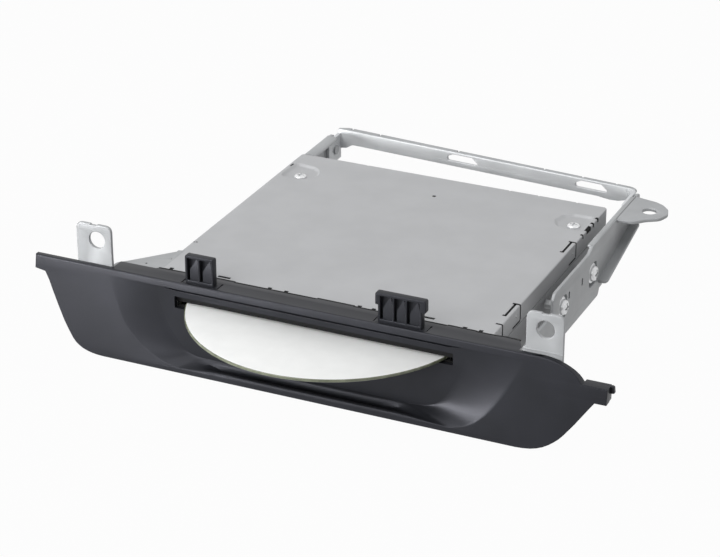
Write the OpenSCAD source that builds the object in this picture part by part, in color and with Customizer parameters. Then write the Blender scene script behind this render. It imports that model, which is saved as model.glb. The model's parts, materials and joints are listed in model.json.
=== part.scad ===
// Slot-in disc changer for a car dashboard: housing, front panel, brackets and the mechanism inside.
// All lengths are in millimetres. The drawing datum is the middle of the disc slot's lower edge, on the
// back wall of the panel's recess; home() moves it so that the origin is the bottom centre of the whole.

/* [Panel] */
// Half of the front panel's width
panel_half = 126; // [120:1:140]
// Height of the panel's top edge above the slot's lower edge
panel_top = 11.5;
// Height of the panel's bottom edge, measured from the slot's lower edge
panel_bottom = -26;
// Lean of the front face, in degrees from upright
panel_lean = 10; // [6:1:12]
// Wall thickness of the moulding
panel_wall = 2; // [1.6:0.1:2.2]
// How far the slot reaches past the disc on each side
slot_margin = 1; // [0.5:0.1:2]
// Height of the slot
slot_height = 5.2; // [4.4:0.1:5.4]
// How far the top flange reaches over the cover
flange_depth = 11.4; // [8:0.2:13]

/* [Disc] */
// Diameter of the disc
disc_diameter = 120;
// Thickness of the disc
disc_thickness = 1.2;
// Bore of the disc
disc_bore = 15;
// How far the disc travels inwards
disc_travel = 52; // [51:0.5:53]

/* [Housing] */
// Room between the disc and the housing's side, where the lift stands
side_room = 13.25; // [12.5:0.25:15]
// Room between the trays and the housing's rear wall, for the electronics
rear_room = 8.19; // [8:0.1:10]
// Height of the housing's underside, measured from the slot's lower edge
case_bottom = -25.8;
// Height of the cover's top face, measured from the slot's lower edge
case_top = 10.85;
// Thickness of the housing's steel
sheet = 0.8; // [0.6:0.1:1]
// Depth of the cover's side skirts
skirt_depth = 10; // [6:0.5:12]

/* [Brackets] */
// Thickness of the bracket steel
plate = 1.5; // [1.2:0.1:1.5]
// Distance from the middle to each front ear's hole
ear_hole_x = 97.5; // [96:0.1:98]
// Height of the front ears' holes
ear_hole_z = 22.1;
// Diameter of the front ears' holes
ear_hole = 7.4; // [6:0.1:8]
// Diameter of the rear ear's hole
rear_hole = 6.3; // [5:0.1:7]

/* [Changer] */
// Height from one tray to the next
tray_pitch = 2.7;
// Thickness of a tray
tray_thickness = 0.8; // [0.6:0.1:0.8]
// Rise of the trays for each turn of a lift screw
screw_lead = 4;

/* [Fits] */
// Radial clearance of a turning pin
running = 0.05; // [0.02:0.01:0.1]
// Gap between parts that only pass each other
gap = 0.3; // [0.2:0.05:0.3]

/* [Hidden] */
steel = [0.74, 0.745, 0.75];
dark_plastic = [0.27, 0.275, 0.29];
black = [0.1, 0.1, 0.1];
rubber = [0.16, 0.16, 0.17];
brass = [0.75, 0.6, 0.3];
white = [0.95, 0.95, 0.94];
board_green = [0.1, 0.35, 0.2];
glass_blue = [0.5, 0.6, 0.8];

$fn = 40;
fine = 96;
// Cutters pass the faces that they cut by this much
over = panel_wall / 2;
half_share = 0.5;

// The housing is as large as the disc in its stored place, the trays round it and the room beside them
disc_rest_y = 21.31;
store_y = disc_rest_y + disc_travel;
tray_rim = [5, 3];
tray_inner = disc_diameter / 2 - tray_rim[0];
tray_outer = disc_diameter / 2 + tray_rim[1];
slot_half = disc_diameter / 2 + slot_margin;
case_half = disc_diameter / 2 + side_room;
case_back = store_y + tray_outer + rear_room;

// Whole object: how far the datum moves so that the origin is at the bottom centre
bar_distance = 28.5;
bar_y = case_back + bar_distance;
bar_skew = 3.97;
bar_thick = plate;
bar_flange = 3.4;
bar_left_inset = 2.25;
bar_left_x = bar_left_inset - case_half;
left_end_y = bar_y - bar_left_x * tan(bar_skew);
whole_front = disc_rest_y - disc_diameter / 2;
whole_back = left_end_y + (bar_thick + bar_flange) / cos(bar_skew);
home_shift = [0, -(whole_front + whole_back) / 2, -panel_bottom];

// Panel outline, in width and height, clockwise from the top left
tab_left = 113.6;
tab_right = 124.3;
tab_z = [-2.4, 4];
tab_back = 4.2;
hook_z = [0.5, 3.8];
hook_y = [2.2, 4.2];
panel_outline = [
    [-panel_half, panel_top], [97.3, panel_top], [102, 11.1], [106.1, 9.7], [109.1, 8.6],
    [111.6, 6.9], [113.3, 4.7], [tab_left, tab_z[1]], [tab_right, tab_z[1]], [tab_right, tab_z[0]],
    [119.5, tab_z[0]], [117.5, -5.3], [112.6, -12.3], [107.7, -18.6], [102.4, -23], [96.5, -25.3],
    [90, panel_bottom], [-92, panel_bottom], [-97, -25.6], [-101.5, -24.6], [-104.8, -22.7],
    [-107.3, -20.1], [-111.3, -14], [-114.6, -7.8], [-117.7, -1.6], [-119.2, 1.6], [-121, 4.7],
    [-panel_half, 5.4]
];
// The panel's ends are thinner than its middle
end_thickness = 4;
end_start = 95;
// Trough behind the recess's lower lip
trough_x = [-54, 47];
trough_y = [-4.6, -0.8];
trough_z = [-25, -20.5];
panel_back = panel_wall;
lean_depth = (panel_top - panel_bottom) * tan(panel_lean);
// Recess: its outline on the front face and on the back wall
recess_front = [
    [-90.5, 7.8], [-87.5, -1], [-84, -8], [-79, -14], [-73, -19], [-67, -22.1], [-60, -23.2],
    [66, -23.2], [71, -21.3], [78, -16.2], [83, -9.7], [88, -1], [91.5, 7.8]
];
recess_back = [
    [-69, 7.8], [-69, 3], [-67, -2.2], [-64, -8.1], [-60, -14], [-57, -19], [-54, -21.2],
    [49, -21.3], [52, -19.9], [57, -16.6], [60, -11.1], [64, -4], [67, 3.6], [67, 7.8]
];
leaf = 0.01;

flange_left_x = -90;
flange_right_x = 87;
flange_step_left = -73.5;
flange_step_right = 78;
flange_side_depth = 8.5;
clip_front = 2;
clip_back = 6;
clip_wall = 0.9;
clip_slit = 0.8;
left_clip_x = -56.5;
left_clip_width = 13;
left_clip_top = 23.5;
right_clip_x = 27.1;
right_clip_width = 22;
right_clip_top = 23.9;
right_clip_neck = 18.7;
neck_inset = 1.2;
tongue_y = 6.8;

// Housing
case_front = 2.3;
case_floor = case_bottom + sheet;
cover_under = case_top - sheet;
skirt_bottom = case_top - skirt_depth;
wall_x = case_half - sheet;
rear_skirt = 5.5;
cover_rear_y = case_back - sheet;
front_opening_low = -0.6;
front_opening_top = 5.8;
front_opening_half = slot_half + slot_margin;
pocket_inset = [10.05, 7.35];
pocket_x = [pocket_inset[0] - case_half, case_half - pocket_inset[1]];
pocket_to_back = 23;
pocket_y = case_back - pocket_to_back;
pocket_radius = 7;
pocket_depth = 1;
cover_screw_bore = 3.2;
lance_slit = 0.6;
lance_length = 14;
lance_depth = 1.9;
lance_y = [28, 92];
hole_to_back = 19.8;
cover_hole = [0.2, case_back - hole_to_back];
cover_hole_size = 1.6;
front_slit_x = [-47.8, 42.4];
front_slit_y = 13.9;
front_slit_length = 5;
post_tab_z = 6.2;
post_tab_thick = 1.2;
post_tab_width = 9;
post_tab_reach = 13;
connector_x = [-30, 10];
connector_z = [-16, -6];
vent_x = [-50, -42, 20, 28, 36, 44];
vent_width = 3;
vent_z = [-14, -6];

// Disc and loading
disc_lift = 0.7;
roller_radius = 3.5;
roller_y = 6.8;
roller_z = disc_lift - gap - roller_radius;
roller_inset = 2;
roller_half = disc_diameter / 2 - roller_inset;
shaft_radius = 1.5;
shaft_inset = 3.25;
shaft_half = case_half - shaft_inset;
bracket_inset = 10.75;
bracket_x = case_half - bracket_inset;
bracket_back_y = 18.7;
bracket_top_z = 0.2;
roller_gear_radius = 3.2;
gear_inset = 6.25;
gear_x = case_half - gear_inset;
gear_width = 2.6;
idler_y = 12.74;
idler_z = -6.79;
idler_radius = 3.6;
idler_pin = 1;
load_motor_y = 17.4;
load_motor_z = -9.7;
load_pinion_radius = 1.7;
load_motor_radius = 4.5;
motor_inset = [24.5, 2.5];
load_motor_x = [bracket_x - motor_inset[0], bracket_x - motor_inset[1]];
motor_shaft = 0.75;
guide_y = [4, 9];
guide_z = [2.3, 4.3];
guide_half = roller_half;
guide_post_inset = 8;
guide_post_x = guide_half - guide_post_inset;
guide_post_width = 6;

// Trays and their lift
lift_inset = 7.25;
lift_x = case_half - lift_inset;
tray_arm_inset = [4.8, 2.1];
tray_arm_x = [lift_x - tray_arm_inset[0], lift_x - tray_arm_inset[1]];
lift_to_back = 36.5;
lift_y = [24, case_back - lift_to_back];
lift_radius = 2;
eyelet_radius = 4.2;
pulley_radius = 4.2;
pulley_z = -24.5;
pulley_height = 2.2;
lift_top = 9.6;
belt_thick = 0.8;
tray_gap = 0.4;
tray_top_z = disc_lift - tray_gap;
lift_motor_inset = 6.05;
lift_motor_x = lift_motor_inset - case_half;
lift_motor_y = 66;
lift_motor_radius = 4;
lift_motor_z = [-21.5, -9.4];
lift_pulley_radius = 3;
tray_arm_front = 19.8;

// Drive
deck_half = 52;
deck_front_y = 7.8;
deck_to_back = 25.5;
deck_back_y = case_back - deck_to_back;
deck_z = -18.2;
deck_thick = 0.8;
pin_to_deck = 2;
deck_pin_y = deck_back_y + pin_to_deck;
deck_pin_z = -17.8;
deck_pin_radius = 1.5;
knuckle_radius = 2.8;
knuckle_x = [-50, 40];
knuckle_length = 10;
stand_x = 53;
stand_reach = 5;
stand_y = [deck_pin_y - stand_reach, deck_pin_y + stand_reach];
stand_top = -9.3;
pin_half = 56;
clamp_pin_z = -12.2;
clamp_pin_radius = 1.2;
clamp_tube_radius = 2.2;
spindle_y = store_y;
spindle_radius = 11;
spindle_height = 4.8;
turntable_radius = 11;
turntable_z = [-17.1, -14.9];
hub_radius = 7.2;
hub_height = 0.7;
spindle_shaft = 1;
rod_x = 24;
rod_z = -16;
rod_radius = 1;
rod_y = [7.8, 62.5];
post_width = 4;
post_thick = 2;
post_top = -14.4;
sled_half = 27;
sled_y = [42.3, 58.3];
sled_z = [-17.2, -14.6];
sled_travel = 32;
sled_window_half = 21;
lens_y = 50.3;
lens_radius = 3;
screw_x = 33;
screw_radius = 1.3;
sled_arm_x = 37;
screw_gear_radius = 4;
screw_gear_y = 63;
feed_motor_x = 38.5;
feed_motor_z = -12.9;
feed_motor_radius = 4;
feed_motor_y = [66, 84];
feed_pinion_radius = 2;
feed_gear_width = 2;
clamp_arm_half = 8;
clamp_arm_z = [-12.6, -11.8];
clamp_arm_front = 60;
clamp_cross_half = 34;
cross_to_pin = 13;
clamp_cross_y = deck_pin_y - cross_to_pin;
clamper_radius = 9.5;
clamper_z = [-13.4, -10.9];
clamper_neck = 4;
clamper_rim = 0.7;
spring_ring = 2;
spring_wire = 0.35;
spring_x = 20;
spring_turns = 6;
damper_x = 40;
damper_y = 13.6;
damper_radius = 4;
damper_height = 3.4;
damper_screw_radius = 1.2;

// Electronics
board_to_back = 7;
board_y = case_back - board_to_back;
board_thick = 1.6;
board_half = 60;
board_z = [-22, 6];
chip_thick = 1.6;
chip_x = [-45, -12, 22];
chip_widths = [14, 20, 10];
chip_z = -18;
chip_height = 8;
board_screw_x = 52;
board_screw_z = -4;
screw_head = 2.6;
head_height = 1.2;
screw_shank = 1.4;
connector_depth = 7;
connector_wall = 1.2;
harness_pin = 0.8;
pin_count = 8;

// Brackets
ear_top = 29.4;
ear_inner = 90;
ear_outer = 105.6;
ear_radius = 4;
ear_y = case_front;
arm_low = -15.75;
arm_top = 0;
left_plate_top = 9;
gusset = [[-case_half, 36], [-88, 12], [-92, 8], [-92, ear_y], [-case_half, ear_y]];
gusset_hole = [-78.5, 13];
gusset_hole_size = 2;
arm_past_case = [0.4, 32.5];
left_arm_y = [case_back + arm_past_case[0], case_back + arm_past_case[1]];
left_arm_inset = 0.75;
left_arm_x = left_arm_inset - case_half;
left_arm_low = -3;
rim_past_case = 24.5;
rim_y = case_back + rim_past_case;
rim_width = 6.1;
right_bracket_gap = 6.25;
right_x = case_half + right_bracket_gap;
// The lower rear edge slopes upwards, and its turned lip lies along it
lip_past_case = [-31.3, 10.5];
lip_y = case_back + lip_past_case[0];
lip_z = [-9.8, 0.3];
lip_width = 4;
lip_length = 42;
lip_rise = atan((lip_z[1] - lip_z[0]) / (lip_past_case[1] - lip_past_case[0]));
plate_past_case = 20.5;
plate_corner = [-31.5, -29, -40.5, -44.5];
right_outline = [
    [ear_y, arm_low], [case_back + plate_corner[0], arm_low], [case_back + plate_corner[1], -11],
    [lip_y, lip_z[0]], [case_back + lip_past_case[1], lip_z[1]], [case_back + plate_past_case, 2.6],
    [case_back + plate_past_case, 11], [case_back + plate_corner[2], 11],
    [case_back + plate_corner[3], 8.75], [60, 8.75], [57.4, 6.5], [57.4, arm_top], [ear_y, arm_top]
];
cup_to_back = 37;
cup_y = [71.1, case_back - cup_to_back];
cup_z = [-1.6, -2.3];
cup_radius = 5.2;
cup_depth = 0.7;
stud_radius = 3.2;
stud_hex = 4.2;
stud_head = 3;
// The rear ear's outline, measured outwards from the bracket and backwards from the housing's rear
rear_ear = [
    [1, -10.3], [8.2, -10.3], [13, -5], [18, -1.3], [19.8, 3.5], [18.1, 8.5], [15, 12.1],
    [11.1, 14.2], [1, 16.3]
];
rear_ear_top = 11;
rear_hole_reach = 11.5;
rear_hole_x = right_x + rear_hole_reach;
hole_past_case = 3.5;
rear_hole_y = case_back + hole_past_case;
strip_width = 2.6;
strip_past_case = 5.5;
strip_y = [case_back + plate_corner[2], case_back + strip_past_case];
bar_low = 4.2;
bar_top = 11;
bar_corner = 5;
bar_gap = 0.5;
bar_right_x = right_x - bar_gap - bar_corner;
bar_slot_x = [-6.5, 57];
bar_slot_z = 8.2;
bar_slot_length = 15;
bar_slot_height = 3.6;
bar_tab_past_case = 5.9;
bar_tab_front = case_back + bar_tab_past_case;
left_tab_y = case_back + plate_past_case;
left_tab_top = 9.2;
rivet_radius = 2.2;
rivet_head = 0.8;
left_rivet_past_case = 27.5;
left_rivet_y = case_back + left_rivet_past_case;
left_rivet_z = 3;
right_rivet_past_case = 11.5;
right_rivet_y = case_back + right_rivet_past_case;
right_rivet_z = 6.8;

// Felt
felt_depth = sheet;
felt_low_top = disc_lift - gap;
felt_high_bottom = disc_lift + disc_thickness + gap;

// Moves the drawing datum to the object's own origin
module home() {
    translate(home_shift) children();
}

// A box between two corners
module box_between(low, high) {
    translate(low) cube(high - low);
}

// A cylinder along X, starting at the given point
module rod_along_x(start, length, radius) {
    translate(start) rotate([0, 90, 0]) cylinder(h = length, r = radius);
}

// A cylinder along Y, starting at the given point
module rod_along_y(start, length, radius) {
    translate(start) rotate([-90, 0, 0]) cylinder(h = length, r = radius);
}

// A shape drawn in width and height, standing up with its front at the given depth
module standing(front, thick) {
    translate([0, front + thick, 0]) rotate([90, 0, 0]) linear_extrude(thick) children();
}

// A toothed wheel around Z, with its bore left open
module toothed(radius, width, bore, teeth) {
    tooth = radius / teeth * PI * half_share;
    root_share = 0.82;
    difference() {
        union() {
            cylinder(h = width, r = radius * root_share);
            for (i = [0 : teeth - 1])
                rotate(i * 360 / teeth)
                    translate([0, -tooth / 2, 0]) cube([radius * cos(tooth), tooth, width]);
        }
        translate([0, 0, -over]) cylinder(h = width + 2 * over, r = bore);
    }
}

// The body of space in front of the panel's leaning face
module in_front_of_panel() {
    reach = lean_depth + panel_half;
    translate([-panel_half - over, 0, panel_top])
        rotate([-panel_lean, 0, 0])
            translate([0, -reach, -reach]) cube([2 * (panel_half + over), reach, 2 * reach]);
}

// The body of space behind the panel's thin ends
module behind_panel_ends() {
    reach = lean_depth + panel_half;
    for (x = [-panel_half - over, end_start])
        translate([x, end_thickness, panel_top])
            rotate([-panel_lean, 0, 0])
                translate([0, 0, -reach]) cube([panel_half + over - end_start, reach, 2 * reach]);
}

// A moulded clip with a row of open cells
module clip_row(left, width, top, cells) {
    cell_width = (width - clip_wall) / cells - clip_wall;
    difference() {
        box_between([left, clip_front, case_top], [left + width, clip_back, top]);
        for (i = [0 : cells - 1])
            box_between(
                [left + clip_wall + i * (cell_width + clip_wall), clip_front - over, panel_top + clip_wall],
                [left + (i + 1) * (cell_width + clip_wall), clip_back - clip_wall, top - clip_wall]);
    }
}

// A slit around a clip's tongue in the flange
module tongue_slit(left, right) {
    box_between([left, clip_front + over, case_top - over], [left + clip_slit, tongue_y, panel_top + over]);
    box_between([right - clip_slit, clip_front + over, case_top - over], [right, tongue_y, panel_top + over]);
}

module bezel() {
    left_clip_right = left_clip_x + left_clip_width;
    right_clip_right = right_clip_x + right_clip_width;
    color(dark_plastic) home() {
        difference() {
            union() {
                difference() {
                    standing(-lean_depth, lean_depth + panel_back) polygon(panel_outline);
                    in_front_of_panel();
                    behind_panel_ends();
                }
                box_between([tab_left, -over * half_share, tab_z[0]], [tab_right, tab_back, tab_z[1]]);
                box_between([tab_right - over, hook_y[0], hook_z[0]], [panel_half, hook_y[1], hook_z[1]]);
                box_between([flange_left_x, panel_back - over, case_top],
                    [flange_step_left, flange_side_depth, panel_top]);
                box_between([flange_step_left - over, panel_back - over, case_top],
                    [flange_step_right, flange_depth, panel_top]);
                box_between([flange_step_right - over, panel_back - over, case_top],
                    [flange_right_x, flange_side_depth, panel_top]);
            }
            // The recess narrows from the front face to its back wall
            hull() {
                standing(-lean_depth - over, leaf) polygon(recess_front);
                standing(-leaf, leaf) polygon(recess_back);
            }
            box_between([-slot_half, -over, 0], [slot_half, panel_back + over, slot_height]);
            box_between([trough_x[0], trough_y[0], trough_z[0]], [trough_x[1], trough_y[1], trough_z[1]]);
            tongue_slit(left_clip_x - clip_slit, left_clip_right + clip_slit);
            tongue_slit(right_clip_x - clip_slit, right_clip_right + clip_slit);
        }
        clip_row(left_clip_x, left_clip_width, left_clip_top, 2);
        difference() {
            clip_row(right_clip_x, right_clip_width, right_clip_top, 3);
            for (x = [right_clip_x - over, right_clip_right - neck_inset])
                box_between([x, clip_front - over, panel_top],
                    [x + over + neck_inset, clip_back + over, right_clip_neck]);
        }
    }
}

module slot_felts() {
    color(black) home() {
        box_between([-slot_half, case_front, front_opening_low],
            [slot_half, case_front + felt_depth, felt_low_top]);
        box_between([-slot_half, case_front, felt_high_bottom],
            [slot_half, case_front + felt_depth, front_opening_top]);
    }
}

module disc() {
    color(white) home() translate([0, disc_rest_y, disc_lift])
        difference() {
            cylinder(h = disc_thickness, d = disc_diameter, $fn = fine);
            translate([0, 0, -over]) cylinder(h = disc_thickness + 2 * over, d = disc_bore);
        }
}

module top_cover() {
    color(steel) home() difference() {
        union() {
            difference() {
                box_between([-case_half, case_front, cover_under], [case_half, case_back, case_top]);
                for (x = pocket_x)
                    translate([x, pocket_y, cover_under - over])
                        cylinder(h = sheet + 2 * over, r = pocket_radius);
            }
            for (side = [-1, 1])
                box_between([min(side * case_half, side * wall_x), case_front, skirt_bottom],
                    [max(side * case_half, side * wall_x), case_back, case_top]);
            box_between([-case_half, cover_rear_y, case_top - rear_skirt], [case_half, case_back, case_top]);
            // The screw pockets are pressed down
            for (x = pocket_x)
                translate([x, pocket_y, cover_under - pocket_depth]) difference() {
                    cylinder(h = pocket_depth + leaf, r = pocket_radius + sheet * half_share);
                    translate([0, 0, sheet]) cylinder(h = pocket_depth + sheet, r = pocket_radius - sheet);
                }
        }
        // Nothing of a pocket may stand outside the skirt
        box_between([case_half, case_front, cover_under - 2 * pocket_depth],
            [case_half + pocket_radius, case_back, case_top + over]);
        for (x = pocket_x)
            translate([x, pocket_y, cover_under - 2 * pocket_depth])
                cylinder(h = 4 * pocket_depth, d = cover_screw_bore);
        // Lances along the right edge
        for (y = lance_y) {
            box_between([case_half - lance_depth, y, cover_under - over],
                [case_half - lance_depth + lance_slit, y + lance_length, case_top + over]);
        }
        for (x = front_slit_x)
            box_between([x, front_slit_y, cover_under - over],
                [x + front_slit_length, front_slit_y + lance_slit, case_top + over]);
        translate([cover_hole[0], cover_hole[1], cover_under - over])
            cylinder(h = sheet + 2 * over, d = cover_hole_size);
    }
}

module chassis_tray() {
    color(steel) home() difference() {
        union() {
            box_between([-wall_x, case_front, case_bottom], [wall_x, cover_rear_y, case_floor]);
            for (side = [-1, 1])
                box_between([min(side * wall_x, side * (wall_x - sheet)), case_front, case_bottom],
                    [max(side * wall_x, side * (wall_x - sheet)), cover_rear_y, cover_under]);
            box_between([-wall_x, case_front, case_bottom], [wall_x, case_front + sheet, cover_under]);
            box_between([-wall_x, cover_rear_y - sheet, case_bottom], [wall_x, cover_rear_y, cover_under]);
            // Tabs that take the cover's screws
            for (side = [-1, 1])
                box_between(
                    [min(side * (wall_x - sheet), side * (wall_x - post_tab_reach)),
                     pocket_y - post_tab_width / 2, post_tab_z],
                    [max(side * (wall_x - sheet), side * (wall_x - post_tab_reach)),
                     pocket_y + post_tab_width / 2, post_tab_z + post_tab_thick]);
        }
        box_between([-front_opening_half, case_front - over, front_opening_low],
            [front_opening_half, case_front + sheet + over, front_opening_top]);
        box_between([connector_x[0] - gap, cover_rear_y - sheet - over, connector_z[0] - gap],
            [connector_x[1] + gap, cover_rear_y + over, connector_z[1] + gap]);
        for (x = vent_x)
            box_between([x, cover_rear_y - sheet - over, vent_z[0]],
                [x + vent_width, cover_rear_y + over, vent_z[1]]);
        for (x = pocket_x) {
            translate([x, pocket_y, post_tab_z - over])
                cylinder(h = post_tab_thick + 2 * over, r = screw_shank + leaf);
            // The walls keep clear of the cover's pockets
            translate([x, pocket_y, cover_under - pocket_depth - gap])
                cylinder(h = pocket_depth + gap + over, r = pocket_radius + sheet * half_share + gap);
        }
    }
}

// Half width outline of a front ear with rounded top corners, before its hole
module ear_shape(inner, outer) {
    difference() {
        union() {
            translate([inner, arm_low]) square([outer - inner, ear_top - ear_radius - arm_low]);
            translate([inner + ear_radius, arm_low])
                square([outer - inner - 2 * ear_radius, ear_top - arm_low]);
            for (x = [inner + ear_radius, outer - ear_radius])
                translate([x, ear_top - ear_radius]) circle(r = ear_radius);
        }
        translate([ear_hole_x, ear_hole_z]) circle(d = ear_hole, $fn = fine);
    }
}

module left_bracket() {
    color(steel) home() {
        difference() {
            union() {
                box_between([-case_half - plate, ear_y, arm_low], [-case_half, left_arm_y[0], left_plate_top]);
                translate([0, 0, case_top - plate]) linear_extrude(plate) polygon(gusset);
                box_between([-case_half - plate, ear_y, arm_low],
                    [-case_half, gusset[0][1], case_top - plate]);
                mirror([1, 0, 0]) standing(ear_y, plate) ear_shape(ear_inner, ear_outer);
                box_between([-ear_inner - over, ear_y, arm_low], [-case_half, ear_y + plate, case_top - plate]);
                // The rear arm steps inwards behind the housing
                box_between([-case_half - plate, left_arm_y[0] - leaf, left_arm_low],
                    [left_arm_x + plate, left_arm_y[0] + plate, left_plate_top]);
                box_between([left_arm_x, left_arm_y[0], left_arm_low],
                    [left_arm_x + plate, left_arm_y[1], case_top]);
                box_between([left_arm_x, left_arm_y[0], case_top - plate],
                    [left_arm_x + rim_width, rim_y, case_top]);
            }
            translate([gusset_hole[0], gusset_hole[1], case_top - plate - over])
                cylinder(h = plate + 2 * over, d = gusset_hole_size);
            rod_along_x([left_arm_x - over, left_rivet_y, left_rivet_z], plate + 2 * over,
                rivet_radius * half_share + leaf);
        }
    }
}

module right_bracket() {
    color(steel) home() difference() {
        union() {
            translate([right_x, 0, 0]) rotate([90, 0, 90]) linear_extrude(plate) polygon(right_outline);
            standing(ear_y, plate) ear_shape(ear_inner, ear_outer);
            box_between([right_x, ear_y, arm_low], [ear_inner + over, ear_y + plate, arm_top]);
            translate([right_x, case_back, rear_ear_top - plate]) linear_extrude(plate) polygon(rear_ear);
            box_between([right_x - strip_width + plate, strip_y[0], rear_ear_top - plate],
                [right_x + over, strip_y[1], rear_ear_top]);
            // The lower edge is turned outwards
            translate([right_x, lip_y, lip_z[0]]) rotate([lip_rise, 0, 0])
                cube([plate + lip_width, lip_length, plate]);
        }
        translate([rear_hole_x, rear_hole_y, rear_ear_top - plate - over])
            cylinder(h = plate + 2 * over, d = rear_hole, $fn = fine);
        for (i = [0, 1]) {
            rod_along_x([right_x - over, cup_y[i], cup_z[i]], plate + 2 * over, stud_radius + gap);
            rod_along_x([right_x + plate - cup_depth, cup_y[i], cup_z[i]], plate, cup_radius);
        }
        rod_along_x([right_x - over, right_rivet_y, right_rivet_z], plate + 2 * over,
            rivet_radius * half_share + leaf);
    }
}

// Plan of the bar: a strip that runs slightly askew and turns forwards at its right end
function bar_front_y(x) = bar_y - x * tan(bar_skew);
bar_corner_y = bar_front_y(bar_right_x) + bar_thick - bar_corner;
bar_outer_x = bar_right_x + bar_corner;
corner_steps = 8;
function corner_point(radius, i) = [
    bar_right_x + radius * sin(i * 90 / corner_steps),
    bar_corner_y + radius * cos(i * 90 / corner_steps)
];
bar_plan = concat(
    [[bar_left_x, bar_front_y(bar_left_x)]],
    [for (i = [0 : corner_steps]) corner_point(bar_corner - bar_thick, i)],
    [[bar_outer_x - bar_thick, bar_tab_front], [bar_outer_x, bar_tab_front]],
    [for (i = [corner_steps : -1 : 0]) corner_point(bar_corner, i)],
    [[bar_left_x, bar_front_y(bar_left_x) + bar_thick]]
);
flange_plan = [
    [bar_left_x, bar_front_y(bar_left_x)], [bar_right_x, bar_front_y(bar_right_x)],
    [bar_right_x, bar_front_y(bar_right_x) + bar_thick + bar_flange],
    [bar_left_x, whole_back]
];

module rear_cross_bar() {
    color(steel) home() difference() {
        union() {
            translate([0, 0, bar_low]) linear_extrude(bar_top - bar_low) polygon(bar_plan);
            translate([0, 0, bar_top - bar_thick]) linear_extrude(bar_thick) polygon(flange_plan);
            box_between([bar_left_x, left_tab_y, left_arm_low],
                [bar_left_x + bar_thick, left_end_y + bar_thick * half_share, left_tab_top]);
        }
        translate([bar_left_x, left_end_y, 0]) rotate(-bar_skew) for (x = bar_slot_x)
            translate([(x - bar_left_x) / cos(bar_skew), -over, bar_slot_z]) {
                for (side = [-1, 1])
                    rod_along_y([side * (bar_slot_length - bar_slot_height) / 2, 0, 0],
                        bar_thick + 2 * over, bar_slot_height / 2);
                translate([-(bar_slot_length - bar_slot_height) / 2, 0, -bar_slot_height / 2])
                    cube([bar_slot_length - bar_slot_height, bar_thick + 2 * over, bar_slot_height]);
            }
        rod_along_x([bar_left_x - over, left_rivet_y, left_rivet_z], bar_thick + 2 * over,
            rivet_radius * half_share + leaf);
        rod_along_x([bar_outer_x - bar_thick - over, right_rivet_y, right_rivet_z],
            bar_thick + 2 * over, rivet_radius * half_share + leaf);
    }
}

module cover_screws() {
    seat = cover_under - pocket_depth + sheet;
    color(steel) home() for (x = pocket_x) translate([x, pocket_y, 0]) {
        translate([0, 0, seat]) difference() {
            cylinder(h = head_height, r = screw_head);
            translate([0, 0, head_height * half_share]) {
                translate([-screw_head * half_share, -lance_slit / 2, 0])
                    cube([screw_head, lance_slit, head_height]);
                translate([-lance_slit / 2, -screw_head * half_share, 0])
                    cube([lance_slit, screw_head, head_height]);
            }
        }
        translate([0, 0, post_tab_z - sheet])
            cylinder(h = seat - post_tab_z + sheet + leaf, r = screw_shank);
    }
}

module bracket_studs() {
    color(steel) home() for (i = [0, 1]) {
        rod_along_x([case_half, cup_y[i], cup_z[i]], right_x - case_half + plate - cup_depth, stud_radius);
        translate([right_x + plate - cup_depth, cup_y[i], cup_z[i]]) rotate([0, 90, 0])
            cylinder(h = stud_head, r = stud_hex, $fn = 6);
    }
}

module bar_rivets() {
    color(steel) home() {
        shank = rivet_radius * half_share;
        rod_along_x([left_arm_x - rivet_head, left_rivet_y, left_rivet_z], rivet_head, rivet_radius);
        rod_along_x([left_arm_x - leaf, left_rivet_y, left_rivet_z], plate + bar_thick + rivet_head, shank);
        rod_along_x([bar_left_x + bar_thick, left_rivet_y, left_rivet_z], rivet_head, rivet_radius);
        rod_along_x([bar_outer_x - bar_thick - rivet_head, right_rivet_y, right_rivet_z], rivet_head,
            rivet_radius);
        rod_along_x([bar_outer_x - bar_thick - leaf, right_rivet_y, right_rivet_z],
            right_x + plate - bar_outer_x + bar_thick + 2 * leaf, shank);
        rod_along_x([right_x + plate, right_rivet_y, right_rivet_z], rivet_head, rivet_radius);
    }
}

module loading_roller() {
    color(rubber) home() difference() {
        rod_along_x([-roller_half, roller_y, roller_z], 2 * roller_half, roller_radius);
        rod_along_x([-roller_half - over, roller_y, roller_z], 2 * (roller_half + over), shaft_radius);
    }
}

module roller_shaft() {
    color(steel) home()
        rod_along_x([-shaft_half, roller_y, roller_z], 2 * shaft_half, shaft_radius);
}

module roller_bushes() {
    bush = shaft_radius + sheet;
    color(white) home() for (x = [-bracket_x - plate, bracket_x]) difference() {
        rod_along_x([x, roller_y, roller_z], plate, bush);
        rod_along_x([x - over, roller_y, roller_z], plate + 2 * over, shaft_radius + running);
    }
}

module roller_brackets() {
    bush = shaft_radius + sheet;
    inside_front = case_front + sheet;
    color(steel) home() {
        difference() {
            for (x = [-bracket_x - plate, bracket_x])
                box_between([x, inside_front, case_floor], [x + plate, bracket_back_y, bracket_top_z]);
            for (x = [-bracket_x - plate, bracket_x])
                rod_along_x([x - over, roller_y, roller_z], plate + 2 * over, bush + leaf);
            rod_along_x([bracket_x - over, load_motor_y, load_motor_z], plate + 2 * over,
                motor_shaft + gap + gap);
        }
        rod_along_x([bracket_x + plate - leaf, idler_y, idler_z], gear_x + gear_width + gap - bracket_x - plate,
            idler_pin);
    }
}

module roller_gear() {
    color(white) home() translate([gear_x, roller_y, roller_z]) rotate([0, 90, 0])
        toothed(roller_gear_radius, gear_width, shaft_radius, 12);
}

module idler_gear() {
    color(white) home() translate([gear_x, idler_y, idler_z]) rotate([0, 90, 0])
        toothed(idler_radius, gear_width, idler_pin + running, 16);
}

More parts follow.
